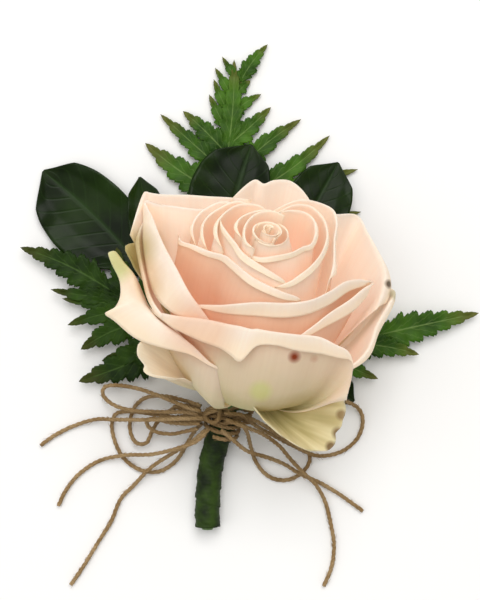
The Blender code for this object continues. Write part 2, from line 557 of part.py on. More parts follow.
# Each cord's route is a hand-laid list of points, from the knot outwards.
CORDS = {
    "twine_loop_1": [(-12.4, -34.0, 14.4), (-16.5, -33.4, 13.4), (-24, -33.6, 9.5), (-32, -33.4, 6.8),
                     (-38, -32, 5.2), (-41.5, -29, 4.6), (-41, -26.4, 4.8), (-37, -25.8, 6.2),
                     (-31, -26.6, 8.6),
                     (-25, -28.4, 10.6), (-19, -30.6, 13.2), (-14.6, -32.2, 15.6), (-11.6, -32.8, 16.4)],
    "twine_loop_2": [(-12.2, -35.6, 12.6), (-17, -35.4, 10.8), (-24, -34.8, 7.0), (-32, -34.0, 4.0),
                     (-37.6, -34.6, 1.6), (-39.2, -38, 1.0), (-38.4, -43, 0.9), (-35.6, -48.4, 0.9),
                     (-30.6, -52, 0.9), (-24.6, -52.4, 1.2), (-19.4, -49, 1.2), (-16, -43.4, 3.6),
                     (-13.6, -39.4, 7.2), (-11.4, -37.0, 10.6)],
    "twine_loop_3": [(-11.6, -31.6, 13.4), (-16, -30.2, 11.6), (-22.6, -29, 8.0), (-28.4, -29.6, 4.4),
                     (-32.4, -33, 0.95), (-33.6, -38.6, 2.6), (-32.0, -43.2, 3.2), (-28.6, -43.6, 3.2),
                     (-26.8, -40, 3.2), (-24.4, -36.2, 3.6), (-19.6, -32.4, 8.0), (-15.6, -31.6, 10.2),
                     (-12.2, -32.6, 11.6)],
    "twine_loop_4": [(-11.9, -36.6, 14.6), (-16.4, -36.8, 13.4), (-21.6, -36.6, 10.6), (-26.2, -35.6, 8.2),
                     (-28.2, -37.4, 7.2), (-25.4, -39.8, 6.8), (-20.8, -40.4, 7.6), (-16.4, -39.4, 10.2),
                     (-12.6, -38.2, 12.8)],
    "twine_tail_1": [(-11.0, -34.8, 17.6), (-15.5, -34.9, 18.2), (-22, -35.4, 14.6), (-30, -36.0, 9.4),
                     (-38, -36.2, 6.0), (-44, -36.4, 2.6), (-51, -38.6, 0.9), (-57, -41.6, 0.9),
                     (-61, -44.5, 0.9)],
    "twine_tail_2": [(-9.4, -38.2, 15.8), (-12.6, -41.6, 15.8), (-19, -44.4, 12.2), (-27, -46.6, 7.4),
                     (-35, -47.2, 3.8), (-43, -49.2, 1.0), (-49.4, -53.4, 0.9), (-53.4, -58.4, 0.9),
                     (-55.6, -63, 0.9)],
    "twine_tail_3": [(-10.2, -38.6, 12.8), (-14.4, -42.4, 10.6), (-21.2, -46.8, 6.6), (-27.4, -51.2, 4.4),
                     (-32.4, -56.6, 1.4), (-36.6, -61, 0.9), (-39.4, -67.6, 0.9), (-43.6, -74.4, 0.9),
                     (-47.6, -81, 0.9), (-51.8, -87.2, 0.9)],
    "twine_loop_5": [(-4.2, -36.2, 16.2), (-0.4, -36.4, 15.6), (2.0, -39.4, 11.2), (3.2, -44.4, 5.0),
                     (4.8, -49.4, 1.2), (8.2, -53.6, 0.9), (12.8, -55.2, 0.9), (17.4, -54.0, 0.9),
                     (20.8, -50.6, 0.9), (21.0, -46.6, 1.0), (16.4, -44.6, 2.4), (10.6, -41.4, 4.6),
                     (5.6, -38.4, 9.0), (0.8, -34.8, 12.4), (-3.4, -34.2, 14.2)],
    "twine_loop_6": [(-4.6, -33.4, 17.0), (0.4, -34.0, 16.2), (6.0, -36.8, 12.2), (12, -41.0, 6.6),
                     (18.0, -45.2, 4.6), (24.0, -47.6, 2.2), (30.6, -46.6, 0.9), (35.6, -42.8, 0.9),
                     (37.6, -37.6, 0.9), (36.2, -33.2, 2.0), (31.6, -30.6, 4.4), (26.0, -29.0, 7.0),
                     (19, -28.4, 9.4), (12, -29.4, 10.4)],
    "twine_tail_4": [(-5.6, -38.6, 14.0), (-2.2, -41.6, 13.0), (2.2, -45.4, 9.4), (8.2, -47.8, 4.4),
                     (13.4, -50.0, 2.8), (18.6, -53.2, 2.8), (24.2, -55.8, 1.2), (30.6, -59.6, 0.9),
                     (37.6, -64.6, 0.9)],
    "twine_tail_5": [(-4.0, -35.2, 18.0), (0.8, -37.2, 17.4), (6.4, -39.8, 12.8), (11.6, -43.8, 7.6),
                     (15.4, -48.4, 5.0), (19.4, -52.6, 5.0), (23.0, -56.2, 3.2), (26.0, -61.6, 1.0),
                     (27.8, -68.6, 0.9), (28.8, -75.2, 0.9), (28.0, -81.8, 0.9), (25.6, -87.6, 0.9)],
}


def make_cords(finish, group):
    for name, route in CORDS.items():
        points = smooth_route([Vector(p) for p in route], 2.5 * TWINE)
        for point in points:
            point.z = max(point.z, 0.55 * TWINE)  # the twine lies on the table, not in it
        made = round_curve(name, points, TWINE / 2, group)
        made.data.materials.append(finish)


def settle(group):
    """Hangs everything on one empty, so that the origin is under the middle of the flowers and leaves."""
    frame = bpy.data.objects.new("boutonniere_frame", None)
    frame.location = MIDDLE * -MM
    pieces = group.objects[:]
    group.objects.link(frame)
    for piece in pieces:
        piece.parent = frame


def main():
    for old in bpy.data.objects[:]:
        bpy.data.objects.remove(old)
    group = bpy.data.collections.new("boutonniere")
    bpy.context.scene.collection.children.link(group)
    make_bloom(material("petal", (0.93, 0.74, 0.64), 0.55), group)
    make_stem(material("rose_green", (0.07, 0.16, 0.04), 0.5), group)
    make_leaves(material("dark_leaf", (0.008, 0.03, 0.01), 0.25), group)
    make_fronds(material("fern_green", (0.06, 0.17, 0.02), 0.5), group)
    make_tape(material("floral_tape", (0.01, 0.06, 0.015), 0.6), group)
    jute = material("jute", (0.42, 0.29, 0.14), 0.9)
    make_binding(jute, group)
    make_cords(jute, group)
    settle(group)


main()
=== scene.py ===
# %% [markdown]
# # A rose boutonniere, lying on a pale table
#
# A boutonniere is a small flower pinned to a lapel. This one is a single pale pink rose backed by fern
# and dark glossy leaves. Its stems are wrapped in green florist's tape and tied with a loose jute bow.
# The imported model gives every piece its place. This script gives each one its fine shape and its
# finish.

# %% Open the frame
import math
import random

import bmesh
import bpy
from mathutils import Matrix, Vector


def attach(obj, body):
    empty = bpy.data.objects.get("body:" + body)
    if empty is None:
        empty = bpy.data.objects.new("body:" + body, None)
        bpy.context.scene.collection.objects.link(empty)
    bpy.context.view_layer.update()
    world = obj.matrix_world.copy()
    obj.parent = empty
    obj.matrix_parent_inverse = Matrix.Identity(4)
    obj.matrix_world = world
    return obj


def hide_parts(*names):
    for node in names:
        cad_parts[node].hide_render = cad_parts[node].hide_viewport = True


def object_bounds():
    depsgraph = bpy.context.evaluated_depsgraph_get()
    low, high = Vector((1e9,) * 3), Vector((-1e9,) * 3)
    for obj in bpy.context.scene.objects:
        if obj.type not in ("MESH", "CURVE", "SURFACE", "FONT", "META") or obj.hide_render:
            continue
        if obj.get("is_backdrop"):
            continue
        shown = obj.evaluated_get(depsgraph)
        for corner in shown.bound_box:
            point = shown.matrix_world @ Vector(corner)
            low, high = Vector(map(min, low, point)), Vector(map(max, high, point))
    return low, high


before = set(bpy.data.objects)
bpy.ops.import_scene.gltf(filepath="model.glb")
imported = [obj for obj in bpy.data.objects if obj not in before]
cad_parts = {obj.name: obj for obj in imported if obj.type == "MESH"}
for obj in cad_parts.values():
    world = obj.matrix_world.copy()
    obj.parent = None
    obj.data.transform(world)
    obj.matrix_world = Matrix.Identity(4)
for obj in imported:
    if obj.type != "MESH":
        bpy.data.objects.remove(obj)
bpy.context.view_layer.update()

# %% [markdown]
# ## Units and the origin
#
# Small flowers are easiest to describe in millimetres, while Blender counts in metres. The points below
# were laid out from the place right under the camera, and the model's origin lies a little further
# right and away. One function does both changes, so no piece has to.

# %% Units and the origin
MM = 0.001
UP = Vector((0.0, 0.0, 1.0))
MIDDLE = Vector((3.0, 4.2, 0.0))
CURVE_STEPS = 400  # a smooth curve is measured in this many steps


def at(point):
    """A laid-out point, in millimetres, as a place in the model, in metres."""
    return (Vector(point) - MIDDLE) * MM


def mix(a, b, share):
    return a + (b - a) * share


def clamp(share):
    return min(max(share, 0.0), 1.0)


def round_from(centre, side, up, turn, radius):
    """The point at that radius from a centre, turned from side towards up, in radians."""
    return centre + (side * math.cos(turn) + up * math.sin(turn)) * radius


def through(points, share):
    """The point at share (0 to 1) of a smooth curve through evenly spaced points."""
    spans = len(points) - 1
    place = clamp(share) * spans
    i = min(int(place), spans - 1)
    f = place - i
    p1, p2 = points[i], points[i + 1]
    p0 = points[i - 1] if i else p1 * 2 - p2
    p3 = points[i + 2] if i + 2 <= spans else p2 * 2 - p1
    return (p1 * 2 + (p2 - p0) * f + (p0 * 2 - p1 * 5 + p2 * 4 - p3) * f**2
            + (p1 * 3 - p0 - p2 * 3 + p3) * f**3) * 0.5


def heading(points, share, near=0.01):
    """The short way along a smooth curve from just before share to just after it."""
    return through(points, share + near) - through(points, share - near)


def route_length(points):
    return sum((b - a).length for a, b in zip(points, points[1:]))


def even_route(points, step):
    """Points about step apart along the smooth curve through the given ones, and evenly so."""
    fine = [through(points, k / CURVE_STEPS) for k in range(CURVE_STEPS + 1)]
    total = route_length(fine)
    count = max(2, round(total / step))
    found, walked, k = [fine[0]], 0.0, 0
    for n in range(1, count):
        goal = total * n / count
        while walked + (fine[k + 1] - fine[k]).length < goal:
            walked += (fine[k + 1] - fine[k]).length
            k += 1
        span = (fine[k + 1] - fine[k]).length
        found.append(fine[k].lerp(fine[k + 1], (goal - walked) / span))
    return found + [fine[-1]]


print("one millimetre is", MM, "metres")

# %% [markdown]
# ## The camera
#
# The flower lies on its back, so the camera looks straight down on it, with the fern's tip at the top
# of the picture. A long lens from less than half a metre keeps the rose's high petals a little nearer
# and larger than the leaves under them, as the eye sees them.

# %% The camera
CAMERA_HEIGHT = 0.45
LENS = 88  # millimetres
camera = bpy.data.objects.new("camera", bpy.data.cameras.new("camera"))
camera.data.lens = LENS
camera.location = (-MIDDLE.x * MM, -MIDDLE.y * MM, CAMERA_HEIGHT)
bpy.context.scene.collection.objects.link(camera)
bpy.context.scene.camera = camera
print("camera above", tuple(camera.location))

# %% [markdown]
# ## Grids that take a shape
#
# Petals, leaves and leaflets are all thin sheets. Each starts as a flat grid from Blender's own
# operator, numbered 0 to 1 across and 0 to 1 along. Those two numbers become its UV map, and a formula
# then moves every corner into place. Rolled up, the same grid makes a tube, which saves a second way of
# working.

# %% Sheets
SEAM = 1e-7  # metres: corners this close are one


def sheet(mesh, across, along, place):
    """Adds a grid, moves its corners to place(u, v), in metres, and returns them."""
    uv = mesh.loops.layers.uv.verify()
    verts = bmesh.ops.create_grid(mesh, x_segments=across, y_segments=along, size=0.5)["verts"]
    for vert in verts:
        for loop in vert.link_loops:
            loop[uv].uv = (vert.co.x + 0.5, vert.co.y + 0.5)
    for vert in verts:
        vert.co = place(vert.co.x + 0.5, vert.co.y + 0.5)
    return verts


def faces_of(verts):
    return list({face for vert in verts for face in vert.link_faces})


def thicken(mesh, verts, thickness):
    """Turns a sheet into a closed shell of that thickness, in millimetres, behind its face.

    Where the mesh has a layer named wall, its value thins the shell from corner to corner."""
    wall = mesh.verts.layers.float.get("wall")
    mesh.normal_update()
    made = bmesh.ops.extrude_face_region(mesh, geom=faces_of(verts), use_keep_orig=True)["geom"]
    back = [part for part in made if isinstance(part, bmesh.types.BMVert)]
    for vert in back:
        vert.co -= vert.normal * (thickness * MM) * (vert[wall] if wall else 1.0)
    bmesh.ops.recalc_face_normals(mesh, faces=faces_of(back + verts))
    return back


print("corners closer than", SEAM, "m are merged")

# %% Tubes
def carried_frames(points):
    """At each point two directions across the path, carried along it without twisting."""
    along = (points[1] - points[0]).normalized()
    side = along.orthogonal().normalized()
    frames = []
    for k in range(len(points)):
        after, before = points[min(k + 1, len(points) - 1)], points[max(k - 1, 0)]
        along = (after - before).normalized()
        side = (side - along * side.dot(along)).normalized()
        frames.append((side, along.cross(side)))
    return frames


def tube(mesh, points, radii, sides=8):
    """A round tube along laid-out points: a grid rolled up, its seam merged and its ends filled."""
    points = [at(point) for point in points]
    radii = [radius * MM for radius in radii]
    frames = carried_frames(points)
    steps = len(points) - 1

    def place(u, v):
        k = round(v * steps)
        return round_from(points[k], *frames[k], math.tau * u, radii[k])

    verts = sheet(mesh, sides, steps, place)
    faces = faces_of(verts)
    ends = [e for f in faces for e in f.edges if e.is_boundary]
    bmesh.ops.remove_doubles(mesh, verts=verts, dist=SEAM)
    faces = [f for f in faces if f.is_valid]
    rims = list({e for e in ends if e.is_valid and e.is_boundary})
    made = bmesh.ops.holes_fill(mesh, edges=rims, sides=sides)["faces"]
    bmesh.ops.recalc_face_normals(mesh, faces=faces + made)


print("sheets can be rolled up")

# %% Finished pieces
def finish_piece(name, mesh, material, replaced=()):
    """Makes the mesh a piece of the object, at the origin, riding on the one body."""
    made = bpy.data.objects.new(name, bpy.data.meshes.new(name))
    mesh.to_mesh(made.data)
    mesh.free()
    made.data.shade_smooth()
    made.data.materials.append(material)
    bpy.context.scene.collection.objects.link(made)
    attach(made, "root")
    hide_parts(*replaced)
    print(name, "has", len(made.data.polygons), "faces")
    return made


print("pieces can be finished")

# %% [markdown]
# ## Painting with nodes
#
# Every finish below is a Principled BSDF fed by a few textures. Setting those up by hand repeats the
# same three moves, so small helpers do them: add a node, fix a value on it, and wire it to another.

# %% Colours, sockets and nodes
BLACK, WHITE = (0.0, 0.0, 0.0), (1.0, 1.0, 1.0)
BUMP_HEIGHT = 0.0002  # metres


def shade(code):
    """A colour from its six-figure screen code, as the linear values that a shader takes."""
    parts = [int(code[k:k + 2], 16) / 255 for k in (0, 2, 4)]
    return tuple(c / 12.92 if c <= 0.04045 else ((c + 0.055) / 1.055)**2.4 for c in parts)


def feed(socket, value):
    """Wires a socket to another one, or sets its number, its vector or its colour."""
    if isinstance(value, bpy.types.NodeSocket):
        socket.id_data.links.new(value, socket)
    elif socket.type == "RGBA":
        socket.default_value = (*(shade(value) if isinstance(value, str) else value), 1.0)
    else:
        socket.default_value = value


def new_material(name, roughness, **constants):
    """A material with a Principled BSDF; constants are set on the shader's own sockets."""
    made = bpy.data.materials.new(name)
    made.use_nodes = True
    shader = made.node_tree.nodes["Principled BSDF"]
    shader.inputs["Roughness"].default_value = roughness
    for socket, value in constants.items():
        shader.inputs[socket.replace("_", " ")].default_value = value
    return made, made.node_tree, shader


def node(tree, kind, *fed, **settings):
    """Adds a node; settings are its properties or named inputs, and fed goes into its first inputs."""
    made = tree.nodes.new(kind)
    for key, value in settings.items():
        if hasattr(made, key):
            setattr(made, key, value)
        else:
            feed(made.inputs[key.replace("_", " ")], value)
    for socket, value in zip(made.inputs, fed):
        feed(socket, value)
    return made


def new_group(name, inputs, outputs):
    """A node group with those named sockets, and its insides' own given inputs and wanted outputs."""
    group = bpy.data.node_groups.new(name, "ShaderNodeTree")
    for in_out, sockets in (("INPUT", inputs), ("OUTPUT", outputs)):
        for socket, kind in sockets.items():
            group.interface.new_socket(socket, in_out=in_out, socket_type="NodeSocket" + kind)
    return group, node(group, "NodeGroupInput").outputs, node(group, "NodeGroupOutput").inputs


print("white is", shade("ffffff"))

# %% Ramps, blends and sums
def ramp(tree, source, *stops):
    """A colour ramp over source; each stop is (position, colour)."""
    made = node(tree, "ShaderNodeValToRGB", source)
    stops_in = made.color_ramp.elements
    while len(stops_in) < len(stops):
        stops_in.new(0.5)
    for element, (position, colour) in zip(stops_in, stops):
        element.position = position
        element.color = (*(shade(colour) if isinstance(colour, str) else colour), 1.0)
    return made.outputs["Color"]


def mask(tree, source, start, end):
    """0 up to start, and 1 from end on."""
    return ramp(tree, source, (start, BLACK), (end, WHITE))


def blend_colour(tree, share, a, b, mode="MIX"):
    """Mixes two colours or sockets by share, which is a number or a socket."""
    made = node(tree, "ShaderNodeMix", data_type="RGBA", blend_type=mode)
    sockets = {socket.identifier: socket for socket in made.inputs}
    for name, value in (("Factor_Float", share), ("A_Color", a), ("B_Color", b)):
        feed(sockets[name], value)
    return next(socket for socket in made.outputs if socket.identifier == "Result_Color")


def sums(tree, operation, a, b=0.0):
    """A Math node on two numbers or sockets."""
    return node(tree, "ShaderNodeMath", a, b, operation=operation).outputs["Value"]


def fade(tree, value, none, full):
    """0 where value is none, 1 where it is full, and even between."""
    return node(tree, "ShaderNodeMapRange", value, none, full).outputs["Result"]


print("ramps, blends and sums are ready")

# %% Maps, noise and bumps
def surface_map(tree, scale=(1.0, 1.0, 1.0), uv=True):
    """UV or Object coordinates, stretched by scale."""
    source = node(tree, "ShaderNodeTexCoord").outputs["UV" if uv else "Object"]
    return node(tree, "ShaderNodeMapping", Vector=source, Scale=scale).outputs["Vector"]


def across_and_along(tree):
    """The two numbers of a sheet's UV map."""
    parts = node(tree, "ShaderNodeSeparateXYZ", surface_map(tree)).outputs
    return parts["X"], parts["Y"]


def noise(tree, vector, scale, detail=3.0, roughness=0.55):
    return node(tree, "ShaderNodeTexNoise", Vector=vector, Scale=scale, Detail=detail,
                Roughness=roughness).outputs["Fac"]


def bump(tree, shader, height, strength):
    made = node(tree, "ShaderNodeBump", Height=height, Distance=BUMP_HEIGHT, Strength=strength)
    feed(shader.inputs["Normal"], made.outputs["Normal"])


print("helpers ready")

# %% [markdown]
# ## The jute finish
#
# Jute twine is a dry, hairy plant fibre: tan, streaked lighter and darker along each yarn, and without
# any shine. Streaks that follow the yarn come from a noise read from the UV map and squeezed along its
# length.

# %% Jute
def jute_material():
    made, tree, shader = new_material("jute", 0.92, Specular_IOR_Level=0.2)
    streaks = noise(tree, surface_map(tree, (3.0, 60.0, 1.0)), 2.0, 5.0)
    tan = ramp(tree, streaks, (0.25, (0.22, 0.14, 0.06)), (0.5, (0.38, 0.26, 0.13)),
               (0.78, (0.58, 0.43, 0.25)))
    patches = noise(tree, surface_map(tree, uv=False), 140.0)
    worn = ramp(tree, patches, (0.35, (0.72, 0.66, 0.56)), (0.65, WHITE))
    feed(shader.inputs["Base Color"], blend_colour(tree, 1.0, tan, worn, "MULTIPLY"))
    bump(tree, shader, streaks, 0.5)
    return made


JUTE = jute_material()
print("made", JUTE.name)

# %% [markdown]
# ## The twine bow
#
# Twine could be a curve with a round bevel, but jute shows its make: three yarns wound round each
# other, with stray fibres all along. So each cord is a mesh. Three thin tubes climb round the route
# like the stripes on a barber's pole, and short hairs stand off them, drawn from a seeded generator so
# that they fall the same way each time. The routes are listed from the knot outwards, in millimetres.

# %% Routes of the free twine
TWINE = 1.7
CORDS = {
    "twine_loop_1": [(-12.4, -34, 14.4), (-16.5, -33.4, 13.4), (-24, -33.6, 9.5), (-32, -33.4, 6.8),
        (-38, -32, 5.2), (-41.5, -29, 4.6), (-41, -26.4, 4.8), (-37, -25.8, 6.2), (-31, -26.6, 8.6),
        (-25, -28.4, 10.6), (-19, -30.6, 13.2), (-14.6, -32.2, 15.6), (-11.6, -32.8, 16.4)],
    "twine_loop_2": [(-12.2, -35.6, 12.6), (-17, -35.4, 10.8), (-24, -34.8, 7), (-32, -34, 4),
        (-37.6, -34.6, 1.6), (-39.2, -38, 1), (-38.4, -43, 0.9), (-35.6, -48.4, 0.9), (-30.6, -52, 0.9),
        (-24.6, -52.4, 1.2), (-19.4, -49, 1.2), (-16, -43.4, 3.6), (-13.6, -39.4, 7.2),
        (-11.4, -37, 10.6)],
    "twine_loop_3": [(-11.6, -31.6, 13.4), (-16, -30.2, 11.6), (-22.6, -29, 8), (-28.4, -29.6, 4.4),
        (-32.4, -33, 0.95), (-33.6, -38.6, 2.6), (-32, -43.2, 3.2), (-28.6, -43.6, 3.2),
        (-26.8, -40, 3.2), (-24.4, -36.2, 3.6), (-19.6, -32.4, 8), (-15.6, -31.6, 10.2),
        (-12.2, -32.6, 11.6)],
    "twine_loop_4": [(-11.9, -36.6, 14.6), (-16.4, -36.8, 13.4), (-21.6, -36.6, 10.6),
        (-26.2, -35.6, 8.2), (-28.2, -37.4, 7.2), (-25.4, -39.8, 6.8), (-20.8, -40.4, 7.6),
        (-16.4, -39.4, 10.2), (-12.6, -38.2, 12.8)],
    "twine_tail_1": [(-11, -34.8, 17.6), (-15.5, -34.9, 18.2), (-22, -35.4, 14.6), (-30, -36, 9.4),
        (-38, -36.2, 6), (-44, -36.4, 2.6), (-51, -38.6, 0.9), (-57, -41.6, 0.9), (-61, -44.5, 0.9)],
    "twine_tail_2": [(-9.4, -38.2, 15.8), (-12.6, -41.6, 15.8), (-19, -44.4, 12.2), (-27, -46.6, 7.4),
        (-35, -47.2, 3.8), (-43, -49.2, 1), (-49.4, -53.4, 0.9), (-53.4, -58.4, 0.9), (-55.6, -63, 0.9)],
    "twine_tail_3": [(-10.2, -38.6, 12.8), (-14.4, -42.4, 10.6), (-21.2, -46.8, 6.6), (-27.4, -51.2, 4.4),
        (-32.4, -56.6, 1.4), (-36.6, -61, 0.9), (-39.4, -67.6, 0.9), (-43.6, -74.4, 0.9),
        (-47.6, -81, 0.9), (-51.8, -87.2, 0.9)],
    "twine_loop_5": [(-4.2, -36.2, 16.2), (-0.4, -36.4, 15.6), (2, -39.4, 11.2), (3.2, -44.4, 5),
        (4.8, -49.4, 1.2), (8.2, -53.6, 0.9), (12.8, -55.2, 0.9), (17.4, -54, 0.9), (20.8, -50.6, 0.9),
        (21, -46.6, 1), (16.4, -44.6, 2.4), (10.6, -41.4, 4.6), (5.6, -38.4, 9), (0.8, -34.8, 12.4),
        (-3.4, -34.2, 14.2)],
    "twine_loop_6": [(-4.6, -33.4, 17), (0.4, -34, 16.2), (6, -36.8, 12.2), (12, -41, 6.6),
        (18, -45.2, 4.6), (24, -47.6, 2.2), (30.6, -46.6, 0.9), (35.6, -42.8, 0.9), (37.6, -37.6, 0.9),
        (36.2, -33.2, 2), (31.6, -30.6, 4.4), (26, -29, 7), (19, -28.4, 9.4), (12, -29.4, 10.4)],
    "twine_tail_4": [(-5.6, -38.6, 14), (-2.2, -41.6, 13), (2.2, -45.4, 9.4), (8.2, -47.8, 4.4),
        (13.4, -50, 2.8), (18.6, -53.2, 2.8), (24.2, -55.8, 1.2), (30.6, -59.6, 0.9), (37.6, -64.6, 0.9)],
    "twine_tail_5": [(-4, -35.2, 18), (0.8, -37.2, 17.4), (6.4, -39.8, 12.8), (11.6, -43.8, 7.6),
        (15.4, -48.4, 5), (19.4, -52.6, 5), (23, -56.2, 3.2), (26, -61.6, 1), (27.8, -68.6, 0.9),
        (28.8, -75.2, 0.9), (28, -81.8, 0.9), (25.6, -87.6, 0.9)],
}
print(len(CORDS), "routes")

# %% Twisted yarns and their fuzz
YARNS = 3
YARN_RADIUS = 0.21 * TWINE
YARN_RING = 0.18 * TWINE  # the yarns' centres lie this far from the cord's
OVER_YARNS = 2 * (YARN_RING + YARN_RADIUS)  # the twine's width without its stray fibres
LAY_LENGTH = 5.2  # one full turn of the yarns, in millimetres
YARN_STEP = 0.62
YARN_UNEVEN = 0.09  # a yarn's radius strays by up to this share
FUZZ_PER_MM = 2.6
FUZZ_RADII = (0.055, 0.05, 0.02)
FUZZ_ROOT = 0.36 * OVER_YARNS
rng = random.Random(11)


def twist(mesh, route):
    """Winds three yarns round a route, a list of points in millimetres, and adds stray fibres."""
    points = even_route(route, YARN_STEP)
    frames = carried_frames(points)
    length = route_length(points)
    last = len(points) - 1

    for yarn in range(YARNS):
        turns = [math.tau * (yarn / YARNS + k / last * length / LAY_LENGTH) for k in range(last + 1)]
        path = [round_from(points[k], *frames[k], turn, YARN_RING) for k, turn in enumerate(turns)]
        radii = [YARN_RADIUS * (1.0 + YARN_UNEVEN * rng.uniform(-1, 1)) for _ in path]
        tube(mesh, path, radii, sides=6)
    for _ in range(round(length * FUZZ_PER_MM)):
        k = rng.randrange(1, last)
        turn, reach = rng.uniform(0, math.tau), rng.uniform(0.25, 1.0)**2
        along = (points[k + 1] - points[k - 1]).normalized() * rng.choice((-1, 1))
        start = round_from(points[k], *frames[k], turn, FUZZ_ROOT)
        out = (start - points[k]).normalized()
        sway = out.cross(along) * rng.uniform(-0.6, 0.6)
        hair = [start, start + (along * 0.9 + out * 0.45) * reach,
                start + (along * 1.9 + out * 0.75 + sway) * reach]
        if min(p.z for p in hair) > 0.05:  # none goes into the table
            tube(mesh, hair, FUZZ_RADII, sides=3)


print(YARNS, "yarns,", round(OVER_YARNS, 2), "mm over all of them")

# %% The bow's cords
ROUTE_STEP = 1.2 * TWINE
LOWEST_TWINE = 0.55 * TWINE  # a route stays at least this high

for name, points in CORDS.items():
    mesh = bmesh.new()
    centre = even_route([Vector(p) for p in points], ROUTE_STEP)
    for point in centre:
        point.z = max(point.z, LOWEST_TWINE)
    twist(mesh, centre)
    piece = finish_piece(name.replace("twine", "jute"), mesh, JUTE, [name])
    path = [at(p) for p in centre]
    route_length(path)
    print(name, "is", round(route_length(path) * 1000), "mm long")

# %% [markdown]
# ## The rose's frame
#
# The bloom leans: its axis tilts towards the fern and a little to the right. It is simplest to shape
# the petals round an upright axis, by angle, radius and height, and to turn the whole flower
# afterwards.

# %% The rose's frame
BLOOM_BASE = Vector((2.5, -27.0, 14.0))
BLOOM_TILT = 50
BLOOM_LEAN = 12


def bloom_frame():
    tilt, lean = math.radians(BLOOM_TILT), math.radians(BLOOM_LEAN)
    right = Vector((math.cos(lean), -math.sin(lean), 0.0))
    axis = Vector((math.sin(tilt) * math.sin(lean), math.sin(tilt) * math.cos(lean), math.cos(tilt)))
    turned = Matrix((right, axis.cross(right), axis)).transposed().to_4x4()
    turned.translation = BLOOM_BASE
    return turned


BLOOM = bloom_frame()


def round_bloom(angle, radius, height):
    """A point in the bloom's own frame; angle 0 is its right side and 90 the far side."""
    turn = math.radians(angle)
    return Vector((radius * math.cos(turn), radius * math.sin(turn), height))


print("the bloom's axis points along", tuple(round(x, 2) for x in BLOOM.to_3x3().col[2]))
